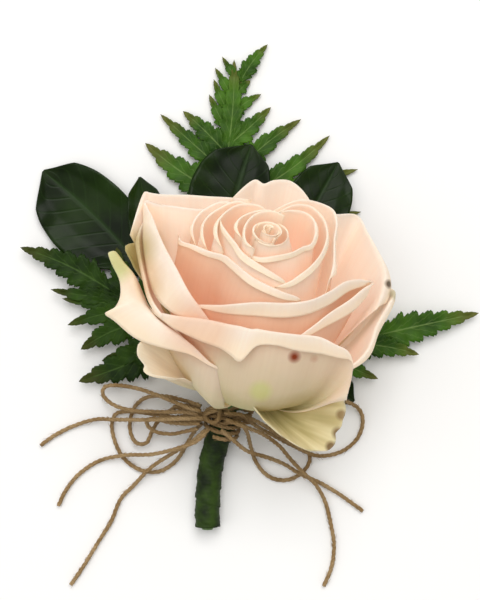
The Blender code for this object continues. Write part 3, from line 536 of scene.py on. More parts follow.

# %% [markdown]
# ## The petals' layout
#
# A garden rose keeps its youngest petals in a tight spiral and opens the older ones round it. A scan or
# a sculpted lump would give one skin, but the look of a rose is its many free rims. So each petal is a
# sheet of its own, and what is listed for it is its rim: how far round, how far out and how high it
# runs.

# %% The petals' rims
# layer counted outwards from the bud, then the rim from one side edge to the other, as
# (angle, radius, height, how far the lip rolls out, how far it drops)
PETALS = {
    "bud_left_inner": (3, [(95, 8.4, 59.5, 0.3, 0.5), (122, 9.6, 60, 0.3, 0.5), (150, 10.4, 60, 0.4, 0.6),
        (180, 10.8, 59.6, 0.4, 0.6), (207, 11.2, 58.8, 0.4, 0.6), (226, 10.2, 58, 0.3, 0.5)]),
    "bud_left": (4, [(98, 9.6, 57, 0.2, 0.3), (114, 11.3, 58.8, 0.4, 0.6), (133, 12.4, 58.8, 0.4, 0.6),
        (152, 13.2, 58.6, 0.4, 0.6), (166, 13.4, 58.2, 0.4, 0.6), (180, 12.6, 57.6, 0.3, 0.5),
        (192, 10.6, 56, 0.1, 0.2)]),
    "ring_inner": (4.5, [(212, 9, 54.6, 0.3, 0.6), (224, 10, 55.6, 0.4, 0.8), (240, 9.6, 56.6, 0.5, 0.9),
        (254, 7.8, 57.1, 0.6, 1), (275, 6, 57.2, 0.6, 1), (308, 5.2, 57.3, 0.6, 1),
        (351, 5.8, 57.4, 0.6, 1), (370, 8, 57.4, 0.6, 1), (398, 10.6, 57.6, 0.6, 1),
        (419, 13.9, 57.6, 0.6, 1), (433, 14.9, 57.8, 0.6, 1), (448, 13.6, 58, 0.5, 0.8),
        (466, 11.4, 58, 0.3, 0.5)]),
    "left_face": (5, [(104, 13.5, 54, 0.1, 0.2), (122, 15.6, 57.4, 0.4, 0.6), (138, 18.2, 57.4, 0.5, 0.8),
        (152, 18.9, 56.8, 0.5, 0.8), (165, 18.9, 55.8, 0.5, 0.8), (179, 17.8, 54.4, 0.4, 0.7),
        (187, 15.4, 50.5, 0.1, 0.2)]),
    "ring_outer": (6, [(272, 12, 50.4, 0.1, 0.2), (281, 12.2, 52, 0.4, 0.6), (290, 12, 53, 0.6, 1),
        (303, 10.9, 53.8, 0.7, 1.1), (334, 10, 54.5, 0.8, 1.2), (368, 11.3, 55, 0.8, 1.2),
        (394, 14.4, 55.6, 0.8, 1.2), (412, 17.4, 56, 0.8, 1.2), (424, 19.2, 56.2, 0.8, 1.2),
        (435, 20.3, 56.4, 0.8, 1.2), (448, 18.6, 56, 0.5, 0.8), (466, 15.8, 53, 0.1, 0.2)]),
    "left_fold": (6.5, [(112, 17.5, 52.5, 0.1, 0.2), (133, 20.4, 56, 0.4, 0.6),
        (149, 22.5, 54.6, 0.6, 0.9), (161, 23.4, 53, 0.6, 0.9), (169, 22.4, 50.8, 0.4, 0.7),
        (174, 19.6, 46, 0.1, 0.2)]),
    "heart_left": (7, [(164, 18.8, 56, 0.3, 0.5), (173, 16.8, 56.2, 0.5, 0.8),
        (185, 14.5, 56.2, 0.6, 0.9), (196, 13, 56, 0.7, 1), (215, 12, 55.7, 0.8, 1.2),
        (238, 11, 55.4, 0.8, 1.2), (268, 11.2, 54.3, 0.6, 0.9), (284, 11.4, 52.4, 0.3, 0.5),
        (295, 10.6, 49, 0.1, 0.2)]),
    "inner_left": (8, [(160, 31, 43.5, 0.4, 0.8), (168, 28, 45.2, 0.8, 1.2), (175, 23.4, 47.6, 1, 1.5),
        (185, 18.9, 49.6, 1, 1.6), (193, 15, 50.7, 1, 1.7), (211, 13, 51.3, 1, 1.8),
        (246, 12.6, 51.5, 1.1, 1.8), (279, 13.8, 50.9, 1, 1.6), (297, 14.2, 49.4, 0.6, 1),
        (307, 13.6, 47, 0.1, 0.2)]),
    "left_mid": (9, [(116, 21, 50.5, 0.1, 0.2), (137, 24, 54, 0.5, 0.8), (147, 26.5, 52.4, 0.8, 1.1),
        (155, 27.4, 50.4, 0.8, 1.2), (161, 26.6, 48, 0.6, 0.9), (165, 24, 44, 0.1, 0.2)]),
    "right_mid": (9, [(464, 21, 50.5, 0.1, 0.2), (443, 24.4, 54.6, 0.5, 0.8), (424, 25.5, 55, 0.8, 1.2),
        (412, 22.6, 54.4, 0.9, 1.4), (397, 17.8, 53.5, 1, 1.6), (378, 15.6, 52.4, 1, 1.6),
        (362, 15, 51.4, 0.9, 1.4), (346, 15.2, 50.2, 0.5, 0.8)]),
    "inner_right": (10, [(214, 25.5, 40, 0.3, 0.5), (222, 22.6, 42, 0.5, 1), (231, 20.4, 43.6, 0.8, 2),
        (240, 18.4, 45, 1, 3), (259, 15.8, 46.9, 1.2, 4), (287, 15.2, 47.9, 1.3, 4),
        (312, 15.8, 48.3, 1.4, 3.6), (337, 16.6, 48.3, 1.5, 3.4), (361, 19.2, 47.3, 1.5, 3.2),
        (373, 24, 45.2, 1.2, 2.4), (379, 29, 42.5, 0.5, 1)]),
    "right_front": (11, [(296, 19.6, 37, 0.4, 0.8), (302, 19, 39.2, 0.6, 1.2), (318, 18.4, 41.2, 1, 2),
        (334, 18.8, 42.7, 1.4, 3), (354, 21.7, 43.7, 1.6, 3.6), (370, 25.5, 43.2, 1.5, 3.2),
        (379, 29.6, 42, 0.8, 1.6)]),
    "left": (11, [(134, 25, 50.4, 0.4, 0.8), (150, 30.7, 50, 0.4, 1), (155, 37.2, 49, 0.4, 1),
        (154.5, 44.8, 46.4, 0.3, 1.5), (163, 38.5, 46.8, 2.5, 3.5), (178, 31.9, 46.6, 5, 7),
        (196, 27.2, 45.6, 6, 9), (212, 25.2, 43.2, 4.4, 6.5), (225, 22.8, 39, 1.6, 2.4),
        (234, 20, 34, 0.2, 0.3)]),
    "back_top": (11.5, [(124, 29.6, 49, 0.6, 0.8), (114, 32.5, 50.8, 1, 1), (108, 34.8, 51.4, 1.4, 1.4),
        (104, 33.6, 51, 1.6, 1.6), (99, 34.8, 51.8, 1.6, 1.6), (92, 36, 51.6, 1.4, 1.4),
        (85, 33.6, 51, 1, 1.2), (77, 30.4, 49.4, 0.6, 0.8)]),
    "right_top": (12.5, [(84, 29, 48, 0.5, 0.8), (72, 31, 48.6, 0.6, 1), (65, 32.4, 48.2, 0.6, 1),
        (59.5, 40.4, 45.4, 0.4, 1.2), (50, 37.6, 44.4, 1.5, 2), (39, 35.6, 42.6, 3, 4),
        (30, 34.8, 41, 3.5, 4.5), (20, 33, 39, 3, 3.5), (8, 30.4, 37, 1.2, 1.6)]),
    "back_left": (12.5, [(168, 43.3, 41, 0.3, 0.6), (160, 44.6, 44, 0.4, 0.6),
        (152, 46.6, 46.2, 0.4, 0.6), (150.6, 46.9, 46.6, 0.3, 0.5), (149.8, 45.6, 46.7, 0.4, 0.6),
        (147, 42.4, 47, 0.8, 1), (142, 37.7, 48, 1.2, 1.2), (136, 33.5, 49, 1.2, 1.2),
        (125, 30.5, 49.4, 0.8, 1), (112, 29, 49, 0.4, 0.6)]),
    "right_low": (13.5, [(38, 31, 34, 0.1, 0.2), (30, 34, 37, 0.4, 0.8), (25, 36.6, 37, 0.6, 1.2),
        (22, 37.8, 36.4, 0.6, 1.5), (14, 34.4, 35.4, 1, 2), (2, 31.2, 34, 1.4, 2.4),
        (-15, 30.6, 32.4, 1.2, 2), (-28, 29, 30, 0.5, 0.8), (-38, 25, 26, 0.1, 0.2)]),
    "left_under": (13.8, [(150, 41, 41, 0.2, 0.3), (157, 42.4, 42.4, 0.4, 0.6),
        (164, 41.4, 41.8, 0.6, 0.8), (171, 39.6, 40.8, 0.6, 0.9), (179, 37.4, 39.6, 0.6, 0.9),
        (187, 35.6, 38.4, 0.6, 0.9), (196, 34.2, 37, 0.6, 0.9), (205, 32.6, 36, 0.6, 0.9),
        (213, 30.6, 34.6, 0.4, 0.6), (221, 27.6, 31, 0.1, 0.2)]),
    "low_left": (15, [(172, 45, 34, 0.6, 0.3), (172, 45.8, 36, 2, 1), (175, 43.8, 36.6, 2.8, 1.6),
        (178, 42, 36.8, 3.2, 2.2), (183, 38.6, 36.4, 4, 3.2), (189, 37.1, 35.6, 4.8, 4),
        (194, 36, 35, 7, 4.4), (196.5, 35.5, 34.7, 9, 4.6), (198, 35.2, 34.5, 11, 4.6),
        (200, 34.7, 34.3, 9.2, 5.4), (208, 32.3, 33.3, 6.6, 6.2), (218, 29.4, 32.6, 4, 4.6),
        (229, 26.6, 30.5, 1.6, 1.8), (239, 24.4, 27, 0.4, 0.5), (246, 21.4, 24, 0.1, 0.1),
        (250, 17.5, 21, 0.1, 0)]),
    "front": (14.5, [(196, 33.6, 32, 0.1, 0.3), (204, 32.6, 34.4, 0.6, 0.6), (211, 30.6, 36.4, 1.6, 1.8),
        (219, 28, 38.2, 2.8, 3.4), (233, 23.8, 40.2, 3.7, 5.6), (245, 22, 41, 4, 6.2),
        (253, 21.2, 41.6, 4.8, 7.6), (260, 20.9, 41.8, 5.4, 8.4), (267, 20.7, 42, 2.4, 4),
        (280, 20.8, 42.2, 1.8, 3), (295, 21.6, 42, 2.4, 3.8), (309, 23.4, 41.6, 2.6, 4),
        (317, 26.6, 40.2, 2, 3.2), (324, 29.4, 37.6, 1.2, 2), (325, 31.8, 31.5, 0.6, 1),
        (320, 34.2, 25, 0.3, 0.4)]),
    "guard_tip": (16, [(158, 38, 33, 0.2, 0.3), (156, 41.9, 36, 0.3, 0.5), (159, 43.7, 35.2, 0.3, 0.5),
        (165, 43.4, 33.6, 0.3, 0.5), (168, 41.4, 31.6, 0.3, 0.5), (171, 37.9, 29, 0.2, 0.3)]),
    "guard_right": (16, [(268, 16, 13, 0.1, 0), (280, 21.4, 12, 0.2, 0), (288, 22, 9, 0.3, 0),
        (298, 26.3, 7, 0.3, -0.2), (305, 30.2, 6, 0.4, -0.5), (311, 33.1, 6, 0.4, -0.6),
        (317, 34.6, 8, 0.4, -0.4), (322, 33.6, 11, 0.3, 0), (325, 32.1, 16, 0.3, 0),
        (329, 31.4, 20.5, 0.2, 0)]),
    "guard_left": (15.5, [(206, 33, 27, 0.1, 0), (211, 37.4, 25.4, 0.3, 0), (215.5, 38, 23.2, 0.4, 0.4),
        (219.5, 36, 20.4, 0.5, 0.4), (223, 31.6, 19, 0.4, 0.3), (227, 27, 18, 0.1, 0)]),
}
print(len(PETALS), "petals")

# %% [markdown]
# ## The rose petal finish
#
# A rose petal is thin, velvety and a little translucent. The light that gathers in its folds is painted:
# an emission in the petal's own colour, strongest towards the claw and none on the backs of the opened
# petals, paints a glow into their shade. Its colour is not even: greenish yellow at the claw, peach and
# pale pink on its way up, and cream where the rim has rolled out into the light. The heart is a warmer
# peach, and the backs of the outer petals are duller, greener at the claw and darker towards it, which
# is partly painted shade on the sides turned from the light. The guard petals are an olive cream with
# paler streaks, and tan patches on the left petals are painted shade. The sheet's own UV map runs from
# claw to rim, so one ramp for each kind can follow it, and two numbers on the mesh tell the kinds and
# the two sides apart.

# %% Rose petal
# bruises, green tinges and painted shade: angle, radius and height in the bloom, reach in millimetres,
# strength, colour
MARKS_AND_PAINTED_SHADE = [(293, 24.8, 37, 2.3, 1, "8c3c1c"), (305, 26.4, 36.6, 1.8, 0.5, "b0704c"),
          (277, 22.9, 22, 4, 0.6, "cfd780"), (177, 44.1, 36, 7, 0.7, "bcc67c"),
          # the marks at 188 and 201 degrees are painted shade: the tan shadow on the left petals
          (164, 41, 34, 9, 0.8, "a8935a"), (188, 35.5, 38.5, 7, 0.45, "cf9f6e"),
          (201, 36, 40, 6, 0.3, "c99f6c"), (22, 38.2, 36, 2.4, 0.6, "8a8a60"),
          (25, 36, 38.4, 1.7, 0.95, "40382a"), (322, 34, 11, 2.2, 0.9, "6a5434"),
          (325, 32.4, 16, 2, 0.8, "725c3a"), (317, 35, 8, 2, 0.9, "5c4a2e"),
          # the last mark is partly a pinker patch and partly painted shade towards the front lip's fold
          (230, 27, 38.5, 12, 0.5, "e2a88a")]
FLECK_STRETCH = Vector((1.0, 1.0, 0.3))  # a mark goes deeper than it is wide
FLECK_CORE = 0.45  # the full strength reaches this share of the way out
print(len(MARKS_AND_PAINTED_SHADE), "marks")

# %% The petal's material
def fleck(tree, angle, radius, height, reach):
    """1 at a place on the bloom, falling to 0 at its reach."""
    place = at(BLOOM @ round_bloom(angle, radius, height)) * FLECK_STRETCH
    away = node(tree, "ShaderNodeVectorMath", surface_map(tree, FLECK_STRETCH, uv=False), place,
                operation="DISTANCE")
    return fade(tree, away.outputs["Value"], reach * MM, FLECK_CORE * reach * MM)


def petal_material():
    # the emission is painted light: a glow in the petal's own colour that lightens its shaded folds
    made, tree, shader = new_material("rose_petal", 0.62, Subsurface_Weight=0.4, Subsurface_Scale=0.002,
                                      Subsurface_Radius=(1.0, 0.75, 0.6), Specular_IOR_Level=0.15,
                                      Emission_Strength=0.26)
    veins = noise(tree, surface_map(tree, (70.0, 2.2, 1.0)), 1.0, 4.0)
    streaks = noise(tree, surface_map(tree, (9.0, 1.3, 1.0)), 1.0, 2.0)
    clouds = noise(tree, surface_map(tree, uv=False), 90.0)
    cloudy = sums(tree, "MULTIPLY", sums(tree, "SUBTRACT", clouds, 0.5), 0.2)
    along = sums(tree, "ADD", across_and_along(tree)[1], cloudy)
    heart = ramp(tree, along, (0.0, "e8cc98"), (0.25, "f3d0be"), (0.5, "f5d7c5"), (0.64, "f4d9c6"),
                 (0.76, "f5dfca"), (0.95, "f5dfc2"))
    inner = ramp(tree, along, (0.0, "dcd48c"), (0.25, "f0d6c6"), (0.5, "f5e2d4"), (0.66, "f5e4d5"),
                 (0.8, "f4e0cd"), (0.95, "f4dcc0"))
    outer = ramp(tree, along, (0.0, "dcb888"), (0.25, "d6a88e"), (0.5, "dcb298"), (0.64, "e6c0a8"),
                 (0.76, "f2d6be"), (0.95, "f4dec2"))
    # backs of opened petals: greener at the claw, and darker towards it also as painted shade, for sides
    # turned from the light
    under = ramp(tree, along, (0.0, "a3a564"), (0.25, "c2b98c"), (0.42, "dccdac"), (0.56, "e4d0b6"),
                 (0.7, "f0d4be"), (0.95, "f4dec2"))
    olive = ramp(tree, along, (0.0, "78763f"), (0.35, "a29a6c"), (0.7, "b6ab80"), (0.95, "cdc09c"))
    cream = ramp(tree, along, (0.2, "b2aa7c"), (0.7, "d6cdaa"), (0.95, "e2d8bc"))
    guard = blend_colour(tree, mask(tree, streaks, 0.38, 0.68), olive, cream)
    age, side = (node(tree, "ShaderNodeAttribute", attribute_name=name).outputs["Fac"]
                 for name in ("age", "under"))
    opened = mask(tree, age, 0.7, 0.78)
    colour = blend_colour(tree, side, inner, blend_colour(tree, opened, outer, under))
    colour = blend_colour(tree, mask(tree, age, 0.44, 0.49), heart, colour)
    colour = blend_colour(tree, mask(tree, age, 0.96, 0.98), colour, guard)
    for *place_and_reach, strength, code in MARKS_AND_PAINTED_SHADE:
        share = sums(tree, "MULTIPLY", fleck(tree, *place_and_reach), strength)
        colour = blend_colour(tree, share, colour, code)
    veined = ramp(tree, veins, (0.3, (0.94, 0.88, 0.82)), (0.6, (0.98, 0.95, 0.9)))
    colour = blend_colour(tree, 0.5, colour, veined, "MULTIPLY")
    feed(shader.inputs["Base Color"], colour)
    # painted glow for the emission: strongest towards the claw, fading towards the rim, and none on the
    # backs of opened petals
    inside = ramp(tree, along, (0.4, (0.7, 0.68, 0.64)), (0.8, (0.5, 0.5, 0.5)))
    outside_painted_glow = ramp(tree, along, (0.4, (0.7, 0.68, 0.66)), (0.75, (0.2, 0.2, 0.2)))
    painted_glow = blend_colour(tree, side, inside, blend_colour(tree, opened, outside_painted_glow, BLACK))
    feed(shader.inputs["Emission Color"], blend_colour(tree, 1.0, colour, painted_glow, "MULTIPLY"))
    bump(tree, shader, veins, 0.15)
    return made


PETAL = petal_material()
print("made", PETAL.name)

# %% [markdown]
# ## Growing a petal
#
# Seen from its side a petal leaves the hip at its narrow claw, bellies out, comes up to its rim and
# rolls over there. A cubic curve draws the belly and a second one the roll. The same two curves, read
# at every place across the petal, give the whole sheet. Where they meet the fold is averaged, so that
# it is round, and the wall thins towards the rim. A slow wave keeps the rim from looking turned on a
# lathe, and the small guard petals underneath hang and are crinkled all over.

# %% Petal sheets
BUD_BELLY = 7.0  # radius of the innermost petal's belly, in millimetres
LAYER_STEP = 1.15  # each further layer's belly is this much wider
CLAW_SPREAD = 35  # half the angle that a claw takes round the hip
CLAW_RADIUS = 2.0
CLAW_STEP = 0.09
PETAL_THICK = 0.5
RIM_WALL = 0.4  # at its rim a petal has this share of its thickness
LIP_START = 0.68  # where along the sheet the roll begins
ROLL = 2.2  # a roll stands at most this far above the rim
SOFTEN = 0.05  # the fold at the rim is averaged over this much of the sheet, so that it is round
OPEN_LAYER = 8  # petals inside this layer still lean in over the bud
BUD_LIPS = 1.2  # and their lips are this much fuller than laid out
GUARD_LAYER = 15.1  # from here on they are guard petals: small, hanging and crinkled
OLDEST = 16.0
FEWEST_ACROSS, MOST_ACROSS = 14, 60  # between them a petal has one face to a millimetre of rim
FACES_ALONG = 32
PETAL_LAYERS = "age", "under", "wall"  # numbers kept at each corner of the mesh
CORNER = 5.0  # a petal's corners are rounded over this much of its rim
print("petals are", PETAL_THICK, "mm thick and", PETAL_THICK * RIM_WALL, "mm at the rim")

# %% Growing one petal
def curve_point(p0, p1, p2, p3, t):
    return p0 * (1 - t)**3 + p1 * 3 * t * (1 - t)**2 + p2 * 3 * t**2 * (1 - t) + p3 * t**3


def grow_petal(mesh, layer, rim_points, phase, centre=Vector()):
    """Adds one petal; its rim is laid out round the bloom's axis, moved to centre."""
    age_layer, under_layer, wall_layer = (mesh.verts.layers.float[name] for name in PETAL_LAYERS)
    rims = [round_bloom(a, r, h) + centre for a, r, h, _, _ in rim_points]
    full = BUD_LIPS if layer < OPEN_LAYER else 1.0
    lips = [Vector((out, drop, 0.0)) * full for _, _, _, out, drop in rim_points]
    middle = sum(p[0] for p in rim_points) / len(rim_points)
    belly = BUD_BELLY + LAYER_STEP * layer
    closed = max(0.0, 1.0 - layer / OPEN_LAYER)
    hanging = layer >= GUARD_LAYER
    wide = route_length(rims)
    backwards = rim_points[0][0] > rim_points[-1][0]

    def profile(u, v):
        rim, roll = through(rims, u), through(lips, u)
        flat = Vector((rim.x, rim.y, 0.0))
        outward = flat.normalized()
        near_side = min(1.0, min(u, 1 - u) * wide / CORNER)
        claw_angle = middle + mix(-CLAW_SPREAD, CLAW_SPREAD, u)
        claw = round_bloom(claw_angle, CLAW_RADIUS + CLAW_STEP * layer, 1.0)
        bulge = max(belly, flat.length * mix(1.04, 0.72, clamp((layer - OPEN_LAYER) / 4)))
        if layer >= OPEN_LAYER:
            bulge *= mix(0.82, 1.0, near_side)
        if hanging:
            bulge = flat.length * 0.6
        low = outward * bulge + UP * rim.z * (0.3 if hanging else 0.1)
        high = outward * mix(bulge * 1.08, flat.length, 0.2) + UP * rim.z * mix(0.62, 0.9, closed)
        if layer < OPEN_LAYER:
            outward = heading(rims, u, 0.02).cross(UP).normalized() * (-1 if backwards else 1)
        v *= 1.0 - 0.22 * (1.0 - near_side)**2  # shorter at its corners, which rounds them
        if v <= LIP_START:
            point = curve_point(claw, low, high, rim, v / LIP_START)
        else:
            t = (v - LIP_START) / (1 - LIP_START)
            lip = rim + (outward * roll.x - UP * roll.y) * mix(0.3, 1.0, near_side)
            rise = (rim - high).normalized() * min(ROLL, 0.4 * max(1.2, (lip - rim).length))
            point = curve_point(rim, rim + rise, rim.lerp(lip, 0.6) + rise * 0.8, lip, t)
        # a slow wave and a finer one, in millimetres
        wave = math.sin(wide * u / 3.4 + phase) * 0.3 + math.sin(wide * u / 1.9 + 2 * phase) * 0.08
        if hanging:
            wave = math.sin(wide * u / 1.7 + 3 * v + phase) * 1.1 + math.sin(wide * u / 0.8 + 5 * v) * 0.4
        return point + (outward + UP * 0.6) * wave * (v**2 if hanging else v**4)

    def place(u, v):
        u = 1 - u if backwards else u
        around = profile(u, max(0.0, v - SOFTEN)) + profile(u, min(1.0, v + SOFTEN))
        return at(BLOOM @ (around * 0.3 + profile(u, v) * 0.4))

    verts = sheet(mesh, max(FEWEST_ACROSS, min(MOST_ACROSS, round(wide))), FACES_ALONG, place)
    uv = mesh.loops.layers.uv.verify()
    for vert in verts:
        v = vert.link_loops[0][uv].uv.y
        vert[wall_layer] = mix(1.0, RIM_WALL, clamp((v - LIP_START + 0.12) / 0.2))
        vert[age_layer] = min(1.0, layer / OLDEST)
        vert[under_layer] = 1.0
    for vert in thicken(mesh, verts, PETAL_THICK):
        vert[under_layer] = 0.0


print("a petal can be grown from its rim")

# %% [markdown]
# ## The bud
#
# At the heart the youngest petals are wound round each other, each one holding the next. Their rims
# need no laying out by hand: every rim is an arc a little wider and a little lower than the one inside
# it, turned on by the golden angle, as a plant sets its leaves.

# %% The bud's whorls
BUD_TIP = Vector((-4.2, -0.6, 0.0))
BUD_HEIGHT = 61.4
WHORLS = 6
GOLDEN = 137.5  # degrees
WHORL_LIP = (0.13, 0.2)


def whorl(k):
    """The rim of the bud's petal k, counted from its centre."""
    wide = 0.5 + 0.95 * k
    turn = 150 if k == 0 else 105
    high = BUD_HEIGHT - 0.42 * k
    return [(GOLDEN * k + a, wide + 0.45 * a / turn, high - 0.4 * (a / turn)**2, *WHORL_LIP)
            for a in range(-turn, turn + 1, 15)]


mesh = bmesh.new()
for layer_name in PETAL_LAYERS:
    mesh.verts.layers.float.new(layer_name)
for k in range(WHORLS):
    grow_petal(mesh, 0.5 * k, whorl(k), 1.7 * k, BUD_TIP)
for count, (layer, rim) in enumerate(PETALS.values()):
    grow_petal(mesh, layer, rim, 2.4 * count)
finish_piece("rose_petals", mesh, PETAL, ["rose_bloom"])

# %% [markdown]
# ## The stem bundle
#
# All the stalks and the rose's own stem run side by side down the bundle. Each piece finds its place
# from one centre line, by how far it is from the tape's mouth and on which side.

# %% The bundle's centre line
MOUTH = Vector((-3.6, -32.4, 8.6))
BUNDLE = [MOUTH] + [Vector(p) for p in ((-5.5, -38.5, 6.9), (-7.3, -44.0, 5.4), (-8.8, -50.0, 4.3),
                                        (-9.6, -57.0, 4.0), (-9.9, -64.0, 4.0), (-9.9, -72.0, 4.0))]
BUNDLE_LENGTH = route_length(BUNDLE)
STEM_RADIUS = 1.7
STALK_RADIUS = 0.45
STALK_RING = STEM_RADIUS + 0.3 + STALK_RADIUS


def bundle_point(distance, angle=0.0, radius=0.0):
    """A point beside the centre line, so far from the mouth; angle 270 is below the line."""
    share = distance / BUNDLE_LENGTH
    along = heading(BUNDLE, share).normalized()
    side = UP.cross(along).normalized()
    return round_from(through(BUNDLE, share), side, along.cross(side), math.radians(angle), radius)


def stalk_points(angle, route):
    """A stalk's centre line, from inside the tape, out of its mouth and on along its route."""
    inside = [bundle_point(d, angle, STALK_RING) for d in (9.0, 6.0, 3.0, 0.3)]
    return even_route(inside + even_route([inside[-1]] + [Vector(p) for p in route], 3.0)[1:], 1.2)


print("the bundle is", round(BUNDLE_LENGTH), "mm long")

# %% [markdown]
# ## Green finishes
#
# Stems, leaves and fern are all green, yet none of the greens is alike. They share two effects, and
# each is a node group with its own inputs: a slow mottling that no leaf is without, and the midrib and
# forward leaning side veins of a blade. A blade's tip also turns towards a colour of its own.

# %% Mottling, shared by the greens
def mottle_group():
    group, given, wanted = new_group("mottle", {"Light": "Color", "Dark": "Color", "Size": "Float"},
                                     {"Color": "Color"})
    place = node(group, "ShaderNodeTexCoord").outputs["Object"]
    spots = fade(group, noise(group, place, given["Size"], 4.0, 0.5), 0.35, 0.65)
    feed(wanted["Color"], blend_colour(group, spots, given["Dark"], given["Light"]))
    return group


MOTTLE = mottle_group()
print("made", MOTTLE.name)

# %% The veins of a blade
def vein_group():
    """Side veins that lean forward from a midrib, read from a blade's own UV map."""
    group, given, wanted = new_group("blade_veins", {"Count": "Float", "Lean": "Float"},
                                     {"Veins": "Float", "Midrib": "Float"})
    across, along = across_and_along(group)

    def from_middle(value):
        return sums(group, "ABSOLUTE", sums(group, "SUBTRACT", value, 0.5))

    aside = sums(group, "MULTIPLY", from_middle(across), 2.0)
    phase = sums(group, "SUBTRACT", sums(group, "MULTIPLY", along, given["Count"]),
                 sums(group, "MULTIPLY", aside, given["Lean"]))
    feed(wanted["Veins"], fade(group, from_middle(sums(group, "FRACT", phase)), 0.11, 0.0))
    feed(wanted["Midrib"], fade(group, aside, 0.09, 0.0))
    return group


VEINS = vein_group()
print("made", VEINS.name)

# %% Five greens
def mottled(tree, light, dark, size):
    made = node(tree, "ShaderNodeGroup", node_tree=MOTTLE, Light=light, Dark=dark, Size=size)
    return made.outputs["Color"]


def green_material(name, light, dark, size, roughness, grain, **constants):
    made, tree, shader = new_material(name, roughness, **constants)
    feed(shader.inputs["Base Color"], mottled(tree, light, dark, size))
    bump(tree, shader, noise(tree, surface_map(tree, uv=False), grain), 0.4)
    return made


def blade_material(name, light, dark, size, roughness, count, lean, rib, tip, tip_start, **constants):
    """A green with a paler midrib, faint side veins and a tip that turns towards its own colour."""
    made, tree, shader = new_material(name, roughness, **constants)
    veins, midrib = node(tree, "ShaderNodeGroup", node_tree=VEINS, Count=count, Lean=lean).outputs
    end = mask(tree, across_and_along(tree)[1], tip_start, 1.0)
    colour = blend_colour(tree, end, mottled(tree, light, dark, size), tip)
    for line, strength in ((veins, 0.22), (midrib, 0.6)):
        colour = blend_colour(tree, sums(tree, "MULTIPLY", line, strength), colour, rib)
    feed(shader.inputs["Base Color"], colour)
    lines = sums(tree, "MAXIMUM", veins, sums(tree, "MULTIPLY", midrib, 2.0))
    bump(tree, shader, sums(tree, "SUBTRACT", 1.0, lines), 0.3)
    return made


STEM_GREEN = green_material("rose_stem_green", (0.16, 0.28, 0.07), (0.05, 0.12, 0.025), 160.0, 0.45,
                            900.0)
LEAF_GREEN = blade_material("glossy_leaf", "1c3008", "0a1603", 60.0, 0.34, 9.0, 2.2, "28401a", "1c2a0e",
                            0.9, Specular_IOR_Level=0.1, Coat_Weight=0.04, Coat_Roughness=0.2)
FERN_GREEN = blade_material("fern_leaf", "456e18", "213f08", 110.0, 0.5, 7.0, 1.6, "7b9652", "62602a",
                            0.65, Specular_IOR_Level=0.15)
# a darker copy of the fern green: painted shade for the frond that lies in shadow
PAINTED_SHADE_FERN_GREEN = blade_material("fern_leaf_painted_shade", "2c480c", "142804", 110.0, 0.5, 7.0, 1.6, "4e6a30",
                                 "42441a", 0.65, Specular_IOR_Level=0.12)
TAPE_GREEN = green_material("florist_tape", "2e4410", "121f06", 200.0, 0.6, 1600.0,
                            Specular_IOR_Level=0.2)
print("five greens")

# %% [markdown]
# ## The rose's stem, hip and sepals
#
# A rose stands on a swollen green hip with five pointed sepals folded back. Most of it hides under the
# petals, but it is what the flower holds on to. The stem is a tube whose radius grows into the hip, and
# each sepal is a narrow grid that tapers to a point.

# %% Stem, hip and sepals
NECK = [(-2.7, -31.9, 9.2), (-1.3, -31.4, 10.0), (0.3, -30.6, 10.9), (1.5, -29.5, 11.9),
        (2.1, -28.4, 12.8), (2.42, -27.3, 13.74)]
NECK_RADII = [1.7, 1.9, 2.4, 3.0, 3.4, 3.5]
SEPALS = 5
SEPAL_REACH = 8.5
SEPAL_HALF_WIDTH = 2.1
SEPAL_THICK = 0.45
STEM_RUN = 13  # places along the bundle, 3 mm apart, before the neck
STEM_STEPS = 80

mesh = bmesh.new()
run = [bundle_point(3.0 * k) for k in range(STEM_RUN, 0, -1)] + [Vector(p) for p in NECK]
girth = [Vector((radius, 0, 0)) for radius in [STEM_RADIUS] * STEM_RUN + NECK_RADII]
steps = [k / STEM_STEPS for k in range(STEM_STEPS + 1)]
tube(mesh, [through(run, share) for share in steps], [through(girth, share).x for share in steps],
     sides=20)
for k in range(SEPALS):
    facing = 360.0 / SEPALS * k + 20.0

    def sepal(u, v, facing=facing):
        width = SEPAL_HALF_WIDTH * math.sqrt(1 - v) * (1 - 0.4 * v) + 0.08
        side = 2 * u - 1
        foot = round_bloom(facing, mix(1.0, SEPAL_REACH, v), -0.9 - 1.4 * v**2 + 0.35 * side**2)
        return at(BLOOM @ (foot + round_bloom(facing + 90.0, side * width, 0.0)))

    thicken(mesh, sheet(mesh, 8, 18, sepal), SEPAL_THICK)
finish_piece("rose_hip_and_stem", mesh, STEM_GREEN, ["rose_stem"])

# %% [markdown]
# ## Dark glossy leaves
#
# The leaves are leathery and nearly black green, with a sunk midrib and a margin that waves and curls
# up. Each is a grid whose width follows the blade's outline from stalk to tip, over a thin round stalk.

